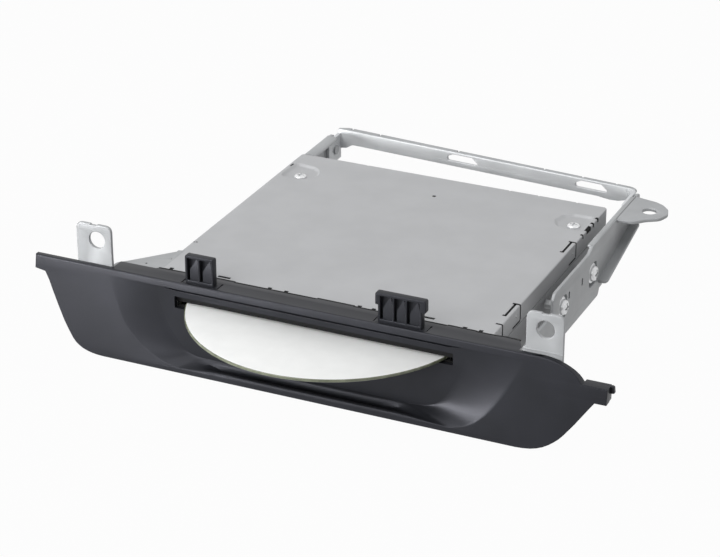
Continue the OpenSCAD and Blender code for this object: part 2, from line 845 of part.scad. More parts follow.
module load_motor() {
    length = load_motor_x[1] - load_motor_x[0];
    color(steel) home() {
        rod_along_x([load_motor_x[0], load_motor_y, load_motor_z], length, load_motor_radius);
        rod_along_x([load_motor_x[1], load_motor_y, load_motor_z], sheet, shaft_radius);
    }
}

module load_pinion() {
    start = load_motor_x[1] + sheet + gap;
    color(brass) home() {
        rod_along_x([start, load_motor_y, load_motor_z], gear_x + gear_width - start, motor_shaft);
        translate([gear_x, load_motor_y, load_motor_z]) rotate([0, 90, 0])
            toothed(load_pinion_radius, gear_width, motor_shaft, 7);
    }
}

module disc_guide() {
    color(white) home() {
        box_between([-guide_half, guide_y[0], guide_z[0]], [guide_half, guide_y[1], guide_z[1]]);
        for (side = [-1, 1])
            box_between([side * guide_post_x - guide_post_width / 2, guide_y[0], guide_z[1] - leaf],
                [side * guide_post_x + guide_post_width / 2, guide_y[1], cover_under]);
    }
}

// One tray of the stack, counted from the top
module tray(index) {
    top = tray_top_z - index * tray_pitch;
    low = top - tray_thickness;
    color(white) home() difference() {
        union() {
            intersection() {
                translate([0, store_y, low]) difference() {
                    cylinder(h = tray_thickness, r = tray_outer, $fn = fine);
                    translate([0, 0, -over]) cylinder(h = tray_thickness + 2 * over, r = tray_inner,
                        $fn = fine);
                }
                box_between([-case_half, store_y, low - over], [case_half, case_back, top + over]);
            }
            for (side = [-1, 1]) {
                box_between([min(side * tray_arm_x[0], side * tray_arm_x[1]), tray_arm_front, low],
                    [max(side * tray_arm_x[0], side * tray_arm_x[1]), lift_y[1], top]);
                for (y = lift_y)
                    translate([side * lift_x, y, low]) cylinder(h = tray_thickness, r = eyelet_radius);
            }
        }
        for (side = [-1, 1]) for (y = lift_y)
            translate([side * lift_x, y, low - over])
                cylinder(h = tray_thickness + 2 * over, r = lift_radius + gap);
    }
}

module tray_1() { tray(0); }
module tray_2() { tray(1); }
module tray_3() { tray(2); }
module tray_4() { tray(3); }

// A lift screw with its thread and its belt pulley
module lift_screw(side, y) {
    thread_low = pulley_z + pulley_height + gap;
    groove = screw_lead / 4;
    color(steel) home() translate([side * lift_x, y, 0]) {
        difference() {
            translate([0, 0, pulley_z]) cylinder(h = lift_top - pulley_z, r = lift_radius);
            for (z = [thread_low : screw_lead * half_share : lift_top - groove])
                translate([0, 0, z]) difference() {
                    cylinder(h = groove, r = lift_radius + over);
                    translate([0, 0, -over]) cylinder(h = groove + 2 * over, r = lift_radius - gap);
                }
        }
        translate([0, 0, pulley_z]) cylinder(h = pulley_height, r = pulley_radius);
    }
}

module lift_screw_front_left() { lift_screw(-1, lift_y[0]); }
module lift_screw_front_right() { lift_screw(1, lift_y[0]); }
module lift_screw_rear_left() { lift_screw(-1, lift_y[1]); }
module lift_screw_rear_right() { lift_screw(1, lift_y[1]); }

// The area inside a belt that lies at the given distance from the pulleys' centres
module belt_area(radius) {
    for (x = [-lift_x, lift_x]) for (y = lift_y) translate([x, y]) circle(r = radius);
    translate([-lift_x, lift_y[0] - radius]) square([2 * lift_x, lift_y[1] - lift_y[0] + 2 * radius]);
    translate([-lift_x - radius, lift_y[0]]) square([2 * (lift_x + radius), lift_y[1] - lift_y[0]]);
}

module lift_belt() {
    inner = pulley_radius + gap;
    color(rubber) home() translate([0, 0, pulley_z + gap]) linear_extrude(pulley_height - 2 * gap)
        difference() {
            belt_area(inner + belt_thick);
            belt_area(inner);
        }
}

module lift_motor() {
    color(steel) home() translate([lift_motor_x, lift_motor_y, lift_motor_z[0]]) {
        cylinder(h = lift_motor_z[1] - lift_motor_z[0], r = lift_motor_radius);
    }
}

module lift_pulley() {
    color(brass) home() translate([lift_motor_x, lift_motor_y, pulley_z])
        cylinder(h = pulley_height, r = lift_pulley_radius);
}

module drive_deck() {
    post_low = deck_z + deck_thick;
    posts_x = [-rod_x, rod_x, screw_x];
    rear_post_y = rod_y[1] - post_thick;
    color(steel) home() difference() {
        union() {
            difference() {
                box_between([-deck_half, deck_front_y, deck_z], [deck_half, deck_back_y, post_low]);
                // Window under the sled, notch under the lead screw's gear
                box_between([-sled_window_half, deck_front_y + 2 * post_thick, deck_z - over],
                    [sled_window_half, rear_post_y - post_thick, post_low + over]);
                box_between([screw_x - screw_gear_radius - gap, screw_gear_y - gap, deck_z - over],
                    [screw_x + screw_gear_radius + gap, screw_gear_y + feed_gear_width + gap, post_low + over]);
                box_between([knuckle_x[0] + knuckle_length, deck_back_y - 2 * plate, deck_z - over],
                    [knuckle_x[1], deck_back_y + over, post_low + over]);
            }
            for (x = posts_x) for (y = [rod_y[0], rear_post_y])
                box_between([x - post_width / 2, y, post_low - leaf], [x + post_width / 2, y + post_thick, post_top]);
            for (x = knuckle_x)
                rod_along_x([x, deck_pin_y, deck_pin_z], knuckle_length, knuckle_radius);
        }
        rod_along_x([-deck_half - over, deck_pin_y, deck_pin_z], 2 * (deck_half + over),
            deck_pin_radius + running);
        for (x = [-rod_x, rod_x])
            rod_along_y([x, rod_y[0] - over, rod_z], rod_y[1] - rod_y[0] + 2 * over, rod_radius + leaf);
        rod_along_y([screw_x, rod_y[0] - over, rod_z], rod_y[1] - rod_y[0] + 2 * over,
            screw_radius + running);
        translate([0, spindle_y, deck_z - over]) cylinder(h = deck_thick + 2 * over, r = 3 * spindle_shaft);
    }
}

module deck_stands() {
    color(steel) home() difference() {
        for (x = [-stand_x - plate, stand_x])
            box_between([x, stand_y[0], case_floor], [x + plate, stand_y[1], stand_top]);
        for (x = [-stand_x - plate, stand_x]) {
            rod_along_x([x - over, deck_pin_y, deck_pin_z], plate + 2 * over, deck_pin_radius + leaf);
            rod_along_x([x - over, deck_pin_y, clamp_pin_z], plate + 2 * over, clamp_pin_radius + leaf);
        }
    }
}

module deck_hinge_pin() {
    color(steel) home() rod_along_x([-pin_half, deck_pin_y, deck_pin_z], 2 * pin_half, deck_pin_radius);
}

module spindle_motor() {
    color(steel) home() translate([0, spindle_y, deck_z - spindle_height]) {
        cylinder(h = spindle_height, r = spindle_radius);
    }
}

module turntable() {
    color(black) home() translate([0, spindle_y, 0]) {
        translate([0, 0, deck_z]) cylinder(h = turntable_z[0] - deck_z + leaf, r = spindle_shaft);
        translate([0, 0, turntable_z[0]]) cylinder(h = turntable_z[1] - turntable_z[0], r = turntable_radius);
        translate([0, 0, turntable_z[1] - leaf]) cylinder(h = hub_height, r = hub_radius);
    }
}

module pickup_sled() {
    color(black) home() difference() {
        box_between([-sled_half, sled_y[0], sled_z[0]], [sled_arm_x, sled_y[1], sled_z[1]]);
        for (x = [-rod_x, rod_x])
            rod_along_y([x, sled_y[0] - over, rod_z], sled_y[1] - sled_y[0] + 2 * over, rod_radius + running);
        rod_along_y([screw_x, sled_y[0] - over, rod_z], sled_y[1] - sled_y[0] + 2 * over,
            screw_radius + running);
        translate([0, lens_y, sled_z[1] - sheet]) cylinder(h = sheet + over, r = lens_radius + leaf);
    }
}

module objective_lens() {
    color(glass_blue) home() translate([0, lens_y, sled_z[1] - sheet])
        cylinder(h = sheet + gap, r = lens_radius);
}

module guide_rods() {
    color(steel) home() for (x = [-rod_x, rod_x])
        rod_along_y([x, rod_y[0], rod_z], rod_y[1] - rod_y[0], rod_radius);
}

module lead_screw() {
    color(brass) home() {
        rod_along_y([screw_x, rod_y[0], rod_z], screw_gear_y + feed_gear_width - rod_y[0], screw_radius);
        translate([screw_x, screw_gear_y, rod_z]) rotate([-90, 0, 0])
            toothed(screw_gear_radius, feed_gear_width, screw_radius, 18);
    }
}

module feed_motor() {
    color(steel) home() {
        rod_along_y([feed_motor_x, feed_motor_y[0], feed_motor_z], feed_motor_y[1] - feed_motor_y[0],
            feed_motor_radius);
        // The motor's foot stands on the deck
        box_between([feed_motor_x - feed_motor_radius * half_share, feed_motor_y[0] + over, deck_z + deck_thick],
            [feed_motor_x + feed_motor_radius * half_share, feed_motor_y[1] - over, feed_motor_z]);
    }
}

module feed_pinion() {
    color(brass) home() translate([feed_motor_x, screw_gear_y, feed_motor_z]) rotate([-90, 0, 0]) {
        toothed(feed_pinion_radius, feed_gear_width, motor_shaft, 9);
        cylinder(h = feed_motor_y[0] - screw_gear_y - leaf, r = motor_shaft);
    }
}

module clamp_arm() {
    color(steel) home() difference() {
        union() {
            box_between([-clamp_arm_half, clamp_arm_front, clamp_arm_z[0]],
                [clamp_arm_half, deck_pin_y, clamp_arm_z[1]]);
            box_between([-clamp_cross_half, clamp_cross_y, clamp_arm_z[0]],
                [clamp_cross_half, deck_pin_y, clamp_arm_z[1]]);
            translate([0, spindle_y, clamp_arm_z[0]])
                cylinder(h = clamp_arm_z[1] - clamp_arm_z[0], r = clamper_radius);
            for (x = [-clamp_cross_half, clamp_cross_half - knuckle_length])
                rod_along_x([x, deck_pin_y, clamp_pin_z], knuckle_length, clamp_tube_radius);
        }
        rod_along_x([-clamp_cross_half - over, deck_pin_y, clamp_pin_z], 2 * (clamp_cross_half + over),
            clamp_pin_radius + running);
        box_between([-clamp_cross_half + knuckle_length, deck_pin_y - clamp_tube_radius - gap, clamp_arm_z[0] - over],
            [clamp_cross_half - knuckle_length, deck_pin_y + over, clamp_arm_z[1] + over]);
        translate([0, spindle_y, clamp_arm_z[0] - over])
            cylinder(h = 2 * clamper_radius, r = clamper_neck + gap);
    }
}

module clamp_hinge_pin() {
    color(steel) home() rod_along_x([-pin_half, deck_pin_y, clamp_pin_z], 2 * pin_half, clamp_pin_radius);
}

module clamp_spring() {
    color(steel) home() for (i = [0 : spring_turns - 1])
        translate([spring_x - i * 2 * spring_wire - i * leaf, deck_pin_y, clamp_pin_z]) rotate([0, 90, 0])
            rotate_extrude() translate([spring_ring, 0]) circle(r = spring_wire, $fn = 16);
}

module clamper() {
    color(black) home() translate([0, spindle_y, 0]) {
        translate([0, 0, clamper_z[0]]) cylinder(h = clamper_rim, r = clamper_radius - gap);
        translate([0, 0, clamper_z[0]]) cylinder(h = clamper_z[1] - clamper_z[0], r = clamper_neck);
        translate([0, 0, clamper_z[1] - clamper_rim]) cylinder(h = clamper_rim, r = clamper_radius * half_share);
    }
}

module rubber_dampers() {
    color(rubber) home() for (side = [-1, 1])
        translate([side * damper_x, damper_y, case_floor]) difference() {
            cylinder(h = damper_height, r = damper_radius);
            translate([0, 0, -over]) cylinder(h = damper_height + 2 * over, r = damper_screw_radius);
        }
}

module control_board() {
    color(board_green) home() difference() {
        union() {
            box_between([-board_half, board_y, board_z[0]], [board_half, board_y + board_thick, board_z[1]]);
            for (i = [0 : len(chip_x) - 1])
                box_between([chip_x[i], board_y - chip_thick, chip_z],
                    [chip_x[i] + chip_widths[i], board_y + leaf, chip_z + chip_height]);
        }
        for (side = [-1, 1])
            rod_along_y([side * board_screw_x, board_y - over, board_screw_z], board_thick + 2 * over,
                screw_shank + leaf);
    }
}

module harness_connector() {
    front = board_y + board_thick;
    pin_step = (connector_x[1] - connector_x[0]) / (pin_count + 1);
    middle_z = (connector_z[0] + connector_z[1]) / 2;
    color(white) home() {
        difference() {
            box_between([connector_x[0], front, connector_z[0]],
                [connector_x[1], front + connector_depth, connector_z[1]]);
            box_between([connector_x[0] + connector_wall, front + connector_wall, connector_z[0] + connector_wall],
                [connector_x[1] - connector_wall, front + connector_depth + over, connector_z[1] - connector_wall]);
        }
        for (i = [1 : pin_count]) for (side = [-1, 1])
            translate([connector_x[0] + i * pin_step - harness_pin / 2, front + connector_wall - leaf,
                middle_z + side * 2 * harness_pin - harness_pin / 2])
                cube([harness_pin, connector_depth - 2 * connector_wall, harness_pin]);
    }
}

module board_screws() {
    shank_end = cover_rear_y - sheet;
    color(steel) home() for (side = [-1, 1]) {
        rod_along_y([side * board_screw_x, board_y - head_height, board_screw_z], head_height, screw_head);
        rod_along_y([side * board_screw_x, board_y - leaf, board_screw_z], shank_end - board_y + leaf, screw_shank);
        rod_along_y([side * board_screw_x, board_y + board_thick, board_screw_z],
            shank_end - board_y - board_thick, screw_head);
    }
}

bezel();
slot_felts();
disc();
top_cover();
chassis_tray();
left_bracket();
right_bracket();
rear_cross_bar();
cover_screws();
bracket_studs();
bar_rivets();
loading_roller();
roller_shaft();
roller_bushes();
roller_brackets();
roller_gear();
idler_gear();
load_motor();
load_pinion();
disc_guide();
tray_1();
tray_2();
tray_3();
tray_4();
lift_screw_front_left();
lift_screw_front_right();
lift_screw_rear_left();
lift_screw_rear_right();
lift_belt();
lift_motor();
lift_pulley();
drive_deck();
deck_stands();
deck_hinge_pin();
spindle_motor();
turntable();
pickup_sled();
objective_lens();
guide_rods();
lead_screw();
feed_motor();
feed_pinion();
clamp_arm();
clamp_hinge_pin();
clamp_spring();
clamper();
rubber_dampers();
control_board();
harness_connector();
board_screws();
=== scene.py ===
"""Dresses a slot-in disc changer: moulded front panel, plated housing, brackets and the stage."""

import json
import math

import bmesh
import bpy
from bpy.props import FloatProperty, FloatVectorProperty, PointerProperty
from mathutils import Matrix, Vector
from mathutils.geometry import tessellate_polygon


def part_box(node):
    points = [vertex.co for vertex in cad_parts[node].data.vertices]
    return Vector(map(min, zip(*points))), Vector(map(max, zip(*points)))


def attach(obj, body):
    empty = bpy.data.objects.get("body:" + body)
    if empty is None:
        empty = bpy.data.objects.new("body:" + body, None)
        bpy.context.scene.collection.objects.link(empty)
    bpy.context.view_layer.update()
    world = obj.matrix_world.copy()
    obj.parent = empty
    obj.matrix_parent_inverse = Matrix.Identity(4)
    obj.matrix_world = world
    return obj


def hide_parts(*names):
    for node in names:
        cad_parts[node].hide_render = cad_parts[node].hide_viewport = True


bl_info = {
    "name": "Slot-in Disc Changer",
    "version": (1, 0, 0),
    "blender": (4, 5, 0),
    "location": "View3D > Sidebar > Changer",
    "description": "Builds the panel, cover, brackets and fittings of a slot-in disc changer",
    "category": "Object",
}

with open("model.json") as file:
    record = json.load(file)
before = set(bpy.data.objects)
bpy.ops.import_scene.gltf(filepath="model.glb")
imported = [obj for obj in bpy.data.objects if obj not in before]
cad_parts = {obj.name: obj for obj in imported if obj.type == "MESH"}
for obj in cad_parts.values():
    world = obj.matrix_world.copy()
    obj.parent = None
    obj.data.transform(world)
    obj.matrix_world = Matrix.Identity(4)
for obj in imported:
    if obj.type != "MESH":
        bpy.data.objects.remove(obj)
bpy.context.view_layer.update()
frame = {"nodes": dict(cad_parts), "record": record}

MM = 0.001
CASE_FRONT_Y = 2.3
CASE_TOP_Z = 10.85

# All sizes below are in millimetres from the drawing datum: the middle of the slot's lower edge, on the
# recess's back wall. The datum's place in the frame comes from the cover, whose front and top are known.
COVER_LOW, COVER_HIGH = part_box("top_cover")
DATUM = Vector((0.0, COVER_LOW.y - CASE_FRONT_Y * MM, COVER_HIGH.z - CASE_TOP_Z * MM))


def at(x, y, z):
    """The point of the frame, in metres, of a place given in millimetres from the datum."""
    return DATUM + Vector((x, y, z)) * MM


def linear(colour):
    """A linear RGBA colour from an sRGB hex value; a colour that is already linear stays as it is."""
    if not isinstance(colour, str):
        return tuple(colour)
    channels = [int(colour[i:i + 2], 16) / 255.0 for i in (1, 3, 5)]
    return tuple(c / 12.92 if c <= 0.04045 else ((c + 0.055) / 1.055) ** 2.4 for c in channels) + (1.0,)


# Materials

def add(tree, kind, inputs=None, **settings):
    """Adds a node; inputs maps a socket's name or number to a value or to the socket that feeds it."""
    node = tree.nodes.new(kind)
    for name, value in settings.items():
        setattr(node, name, value)
    for name, value in (inputs or {}).items():
        if isinstance(value, bpy.types.NodeSocket):
            tree.links.new(value, node.inputs[name])
        else:
            node.inputs[name].default_value = value
    return node


def new_material(name):
    """An empty node material with its output node."""
    material = bpy.data.materials.new(name)
    material.use_nodes = True
    material.node_tree.nodes.clear()
    return material, material.node_tree, material.node_tree.nodes.new("ShaderNodeOutputMaterial")


def object_noise(tree, size_mm, detail=2.0, stretch=(1.0, 1.0, 1.0)):
    """Noise with features of about the given size, fixed to the object."""
    place = add(tree, "ShaderNodeTexCoord")
    scaled = add(tree, "ShaderNodeMapping", {"Vector": place.outputs["Object"], "Scale": stretch})
    return add(tree, "ShaderNodeTexNoise",
               {"Vector": scaled.outputs["Vector"], "Scale": 1.0 / (size_mm * MM), "Detail": detail})


def mixed_colour(tree, factor, low, high):
    """A colour that runs from one value to another with a factor."""
    ramp = add(tree, "ShaderNodeValToRGB", {"Fac": factor})
    for element, position, colour in zip(ramp.color_ramp.elements, (0.35, 0.65), (low, high)):
        element.position = position
        element.color = linear(colour)
    return ramp.outputs["Color"]


def surface(name, low, high, roughness, grain_mm=1.2, bump_mm=0.004, cloud_mm=None, cloudy_gloss=False,
            stretch=(1.0, 1.0, 1.0), extra=None):
    """A procedural finish: its bump follows a fine grain, and its tone the same grain or a broad cloud.

    roughness is a range, which follows the grain or, with cloudy_gloss, the cloud; extra goes to the shader.
    """
    material, tree, out = new_material(name)
    grain = object_noise(tree, grain_mm, 3.0, stretch).outputs["Fac"]
    cloud = object_noise(tree, cloud_mm).outputs["Fac"] if cloud_mm else grain
    gloss = add(tree, "ShaderNodeMapRange", {"Value": cloud if cloudy_gloss else grain,
                                             "To Min": roughness[0], "To Max": roughness[1]})
    bump = add(tree, "ShaderNodeBump", {"Height": grain, "Distance": bump_mm * MM})
    shader = add(tree, "ShaderNodeBsdfPrincipled", {
        "Base Color": mixed_colour(tree, cloud, low, high),
        "Roughness": gloss.outputs["Result"],
        "Normal": bump.outputs["Normal"],
        **(extra or {}),
    })
    tree.links.new(shader.outputs["BSDF"], out.inputs["Surface"])
    return material


def make_materials(colours):
    """Every finish of the object, by a short key."""
    # Moulded ABS has a spark-eroded grain: an even satin skin, its highlights broken by fine grit. The real
    # grain is about 0.1 mm; it is drawn at 0.35 mm so that it shows
    spark_eroded = {"grain_mm": 0.35, "bump_mm": 0.006, "cloud_mm": 18.0,
                    "extra": {"IOR": 1.53, "Specular IOR Level": 0.25,
                              "Specular Tint": (0.88, 0.89, 1.0, 1.0)}}
    # Cold-rolled sheet with electro-zinc is pale and slightly cloudy, with faint rolling lines that run front
    # to back; they are about 0.2 mm apart and are drawn at 0.5 mm
    rolled = {"grain_mm": 0.5, "bump_mm": 0.0015, "stretch": (1.0, 0.02, 1.0), "cloud_mm": 14.0,
              "cloudy_gloss": True, "extra": {"Metallic": 0.2}}
    return {
        # Charcoal ABS moulding: satin, cool dark grey
        "panel": surface("moulded_charcoal_abs", colours.panel_low, colours.panel_high, (0.34, 0.4),
                         **spark_eroded),
        # Zinc-plated deep-drawn sheet: pale and matt
        "cover": surface("zinc_plated_cover_sheet", "#B1B2B4", "#B5B6B8", (0.46, 0.5), **rolled),
        "bracket": surface("zinc_plated_bracket_sheet", "#A2A4A6", "#ABADAF", (0.42, 0.48), **rolled),
        # The bar's web is the same plated sheet painted paler: painted light that stands for the strong light
        # on the web
        "bar": surface("zinc_plated_sheet_painted_light", "#CED0D2", "#D6D8DA", (0.42, 0.48), **rolled),
        # Bright zinc on cold-headed screws: small sharp glints
        "screw": surface("bright_zinc_screw", "#DCDDDE", "#E8E9EA", (0.25, 0.35), 0.8,
                         extra={"Metallic": 0.6}),
        # White screen-printed ink: flat and even
        "disc": surface("white_printed_disc", "#E6E7E6", "#E9EAE9", (0.34, 0.4), 6.0, 0.001),
        # Clear polycarbonate seen edge on: dark olive
        "rim": surface("polycarbonate_rim", "#5E6350", "#7C806C", (0.2, 0.3), 4.0, 0.001,
                       extra={"IOR": 1.58}),
        # Nitrile rubber, ground: dull black
        "rubber": surface("ground_nitrile_rubber", "#232325", "#2D2D2F", (0.7, 0.85), extra={"IOR": 1.52}),
        # Natural acetal: creamy white with a waxy sheen
        "acetal": surface("moulded_natural_acetal", "#DEDCD3", "#E8E6DE", (0.35, 0.45), extra={"IOR": 1.48}),
        # Black acetal: the same sheen over near black
        "black": surface("moulded_black_acetal", "#17171A", "#202023", (0.35, 0.5), extra={"IOR": 1.48}),
        # Turned brass: warm, with fine tool marks
        "brass": surface("turned_brass", "#B5924C", "#C6A662", (0.22, 0.34), 0.6, extra={"Metallic": 1.0}),
        # Solder mask over copper: glossy green with darker tracks
        "board": surface("green_solder_mask", "#174A2E", "#23643F", (0.2, 0.35), 2.5),
        # Pressed wool felt: black, no gloss at all. The same black also serves as painted shade under the
        # cover's slits and under the panel's flange
        "felt": surface("black_felt_and_painted_shade", "#0D0D0E", "#161617", (0.95, 1.0), 0.5, 0.05,
                        extra={"IOR": 1.45}),
        # Coated glass lens: bluish
        "lens": surface("coated_lens_glass", "#5B77B8", "#7FA0D8", (0.03, 0.08), 5.0, 0.0,
                        extra={"IOR": 1.7}),
    }


# Mesh making

# Points closer than this, in millimetres, are joined
WELD_DISTANCE = 0.004
# A carved piece's larger faces, in square millimetres, are its flat ones
LARGEST_SMOOTH_FACE = 20.0
# Edges that turn by more than this many degrees stay sharp
SHARP_ANGLE, PLATE_SHARP_ANGLE = 35.0, 32.0


class Flat(tuple):
    """A face that is shaded flat, such as the wide face of a sheet."""


def mesh_from(name, vertices, faces):
    """A mesh with its doubled points joined and its faces turned outwards."""
    mesh = bpy.data.meshes.new(name)
    mesh.from_pydata([tuple(v) for v in vertices], [], [tuple(f) for f in faces])
    work = bmesh.new()
    work.from_mesh(mesh)
    for made, face in zip(work.faces, faces):
        made.smooth = not isinstance(face, Flat)
    bmesh.ops.remove_doubles(work, verts=work.verts, dist=WELD_DISTANCE * MM)
    loose = [edge for edge in work.edges if not edge.link_faces]
    bmesh.ops.delete(work, geom=loose, context="EDGES")
    bmesh.ops.recalc_face_normals(work, faces=work.faces)
    work.to_mesh(mesh)
    work.free()
    return mesh


def place_object(name, data):
    """An object in the scene that shows a mesh, a camera or a lamp."""
    made = bpy.data.objects.new(name, data)
    bpy.context.scene.collection.objects.link(made)
    return made


def finished(name, mesh, material, body, smooth_angle):
    """An object that shows a mesh, smooth up to the given angle, and rides on a body."""
    mesh.set_sharp_from_angle(angle=math.radians(smooth_angle))
    mesh.materials.clear()
    mesh.materials.append(material)
    piece = place_object(name, mesh)
    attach(piece, body)
    return piece


def finish_mesh(name, vertices, faces, material, body="housing", smooth_angle=SHARP_ANGLE):
    """A finished object from points and faces."""
    return finished(name, mesh_from(name, vertices, faces), material, body, smooth_angle)


def carved(name, solid, cutters, material):
    """A solid with the cutters taken away from it, as an object that rides on the housing."""
    base = place_object("work_base", mesh_from("work_base", *solid))
    tools = place_object("work_tools", mesh_from("work_tools", *joined(*cutters)))
    cut = base.modifiers.new("cut", "BOOLEAN")
    cut.operation = "DIFFERENCE"
    cut.solver = "EXACT"
    cut.use_self = True
    cut.object = tools
    graph = bpy.context.evaluated_depsgraph_get()
    mesh = bpy.data.meshes.new_from_object(base.evaluated_get(graph))
    for used in (base, tools):
        old = used.data
        bpy.data.objects.remove(used)
        bpy.data.meshes.remove(old)
    mesh.name = name
    for face in mesh.polygons:
        face.use_smooth = face.area < LARGEST_SMOOTH_FACE * MM * MM
    return finished(name, mesh, material, "housing", SHARP_ANGLE)


def joined(*parts):
    """Several lists of vertices and faces as one."""
    vertices, faces = [], []
    for part_vertices, part_faces in parts:
        start = len(vertices)
        vertices += part_vertices
        faces += [type(face)(i + start for i in face) for face in part_faces]
    return vertices, faces


def skin(rings, start=0):
    """Points, faces and rows of point numbers of a surface that joins closed rings, numbered from start."""
    rows, points = [], []
    for ring in rings:
        first = start + len(points)
        rows.append(list(range(first, first + len(ring))))
        points += ring
    faces = []
    for row, following in zip(rows, rows[1:]):
        faces += zip(row, row[1:] + row[:1], following[1:] + following[:1], following)
    return points, faces, rows


def cap(loops, numbers):
    """Flat faces inside a loop and outside its holes; numbers holds the point numbers of each loop."""
    flat_numbers = [n for row in numbers for n in row]
    triangles = tessellate_polygon([[Vector((u, v, 0.0)) for u, v in loop] for loop in loops])
    return [Flat(flat_numbers[i] for i in triangle) for triangle in triangles]


def signed_area(loop):
    """Twice the area inside a loop, positive when it runs anticlockwise."""
    return sum(a[0] * b[1] - b[0] * a[1] for a, b in zip(loop, loop[1:] + loop[:1]))


def turned(loop, anticlockwise=True):
    """The loop, run anticlockwise or else clockwise."""
    return list(loop) if (signed_area(loop) > 0) == anticlockwise else list(loop)[::-1]


def inset(loop, distance):
    """The loop moved to its left, which is inwards for a loop that runs anticlockwise."""
    if abs(distance) < 1e-6:
        return list(loop)
    moved = []
    for i, point in enumerate(loop):
        here = Vector(point)
        first = (here - Vector(loop[i - 1])).normalized()
        second = (Vector(loop[(i + 1) % len(loop)]) - here).normalized()
        first_in, second_in = Vector((-first.y, first.x)), Vector((-second.y, second.x))
        share = max(0.25, 1.0 + first_in.dot(second_in))
        moved.append(tuple(here + (first_in + second_in) * distance / share))
    return moved


def quarter(radius, steps=3):
    """Inset and depth of the points of a quarter round that starts on the wide face."""
    angles = [math.radians(90.0 * i / steps) for i in range(steps + 1)]
    return [(radius * (1 - math.sin(a)), radius * (1 - math.cos(a))) for a in angles]


def sheet(loops, thickness, edge, place, back_edge=None):
    """Vertices and faces of a flat sheet with rounded edges; loops are its outline and then its holes.

    place turns a point of the sheet and a depth, in millimetres, into a point of the frame.
    """
    back_edge = edge if back_edge is None else back_edge
    profile = quarter(edge)
    profile += [(distance, thickness - depth) for distance, depth in reversed(quarter(back_edge))]
    vertices, faces = [], []
    ends = {0: ([], []), -1: ([], [])}
    for i, loop in enumerate(loops):
        loop = turned(loop, anticlockwise=i == 0)
        rings = [[place(u, v, depth) for u, v in inset(loop, distance)] for distance, depth in profile]
        points, walls, rows = skin(rings, len(vertices))
        vertices += points
        faces += walls
        for end, (flat_loops, numbers) in ends.items():
            flat_loops.append(inset(loop, profile[end][0]))
            numbers.append(rows[end])
    for flat_loops, numbers in ends.values():
        faces += cap(flat_loops, numbers)
    return vertices, faces


def in_plan(z_top):
    """Places a sheet drawn in plan, face up at a height."""
    return lambda u, v, depth: at(u, v, z_top - depth)


def facing_front(y_front):
    """Places a sheet drawn in width and height, facing the front."""
    return lambda u, v, depth: at(u, y_front + depth, v)


def facing_right(x_face):
    """Places a sheet drawn in depth and height, facing +X."""
    return lambda u, v, depth: at(x_face - depth, u, v)


def facing_left(x_face):
    """Places a sheet drawn in depth and height, facing -X."""
    return lambda u, v, depth: at(x_face + depth, u, v)


def block(low, high, edge=0.0):
    """A box between two corners, with its upper and lower edges rounded."""
    plan = rectangle(*low[:2], *high[:2])
    if edge:
        plan = rounded(plan, edge, 3)
    return sheet([plan], high[2] - low[2], edge, in_plan(high[2]))


def circle(x, y, radius, count):
    """Points of a circle."""
    return [(x + radius * math.cos(2 * math.pi * i / count), y + radius * math.sin(2 * math.pi * i / count))
            for i in range(count)]


def rectangle(left, low, right, high):
    """Points of a rectangle."""
    return [(left, low), (right, low), (right, high), (left, high)]


def rounded(points, radius, steps=6):
    """The polygon with each corner rounded; radius is a number or one number for each corner."""
    result = []
    count = len(points)
    radii = radius if isinstance(radius, (list, tuple)) else [radius] * count
    for i in range(count):
        here = Vector(points[i])
        before, after = Vector(points[i - 1]) - here, Vector(points[(i + 1) % count]) - here
        angle = before.angle(after)
        if radii[i] <= 0 or angle > math.radians(176):
            result.append(tuple(here))
            continue
        reach = min(radii[i] / math.tan(angle / 2), 0.45 * before.length, 0.45 * after.length)
        start, end = here + before.normalized() * reach, here + after.normalized() * reach
        for k in range(steps + 1):
            t = k / steps
            result.append(tuple(start.lerp(here, t).lerp(here.lerp(end, t), t)))
    return result


def spread(points, count):
    """The given number of points, spread evenly along an open line."""
    vectors = [Vector(p) for p in points]
    lengths = [(b - a).length for a, b in zip(vectors, vectors[1:])]
    result = []
    for k in range(count):
        left = sum(lengths) * k / (count - 1)
        for i, length in enumerate(lengths):
            if left <= length + 1e-9 or i == len(lengths) - 1:
                result.append(tuple(vectors[i].lerp(vectors[i + 1], min(1.0, left / max(length, 1e-9)))))
                break
            left -= length
    return result


def smooth_line(points, passes=2):
    """An open line with its corners cut smooth."""
    line = [Vector(p) for p in points]
    for _ in range(passes):
        cut = [line[0]]
        for a, b in zip(line, line[1:]):
            cut += [a.lerp(b, 0.25), a.lerp(b, 0.75)]
        line = cut + [line[-1]]
    return [tuple(p) for p in line]


def lathe(profile, start, axis, count):
    """A turned shape; profile is a closed line of radius and distance along the axis from the start."""
    axis = Vector(axis).normalized()
    side = axis.orthogonal().normalized()
    other = axis.cross(side)
    vertices, faces = [], []
    for i in range(count):
        angle = 2 * math.pi * i / count
        out = side * math.cos(angle) + other * math.sin(angle)
        vertices += [at(*(Vector(start) + out * r + axis * z)) for r, z in profile]
    steps = len(profile)
    for i in range(count):
        a, b = i * steps, ((i + 1) % count) * steps
        for k in range(steps):
            n = (k + 1) % steps
            faces.append((a + k, b + k, b + n, a + n))
    return vertices, faces


# Front panel

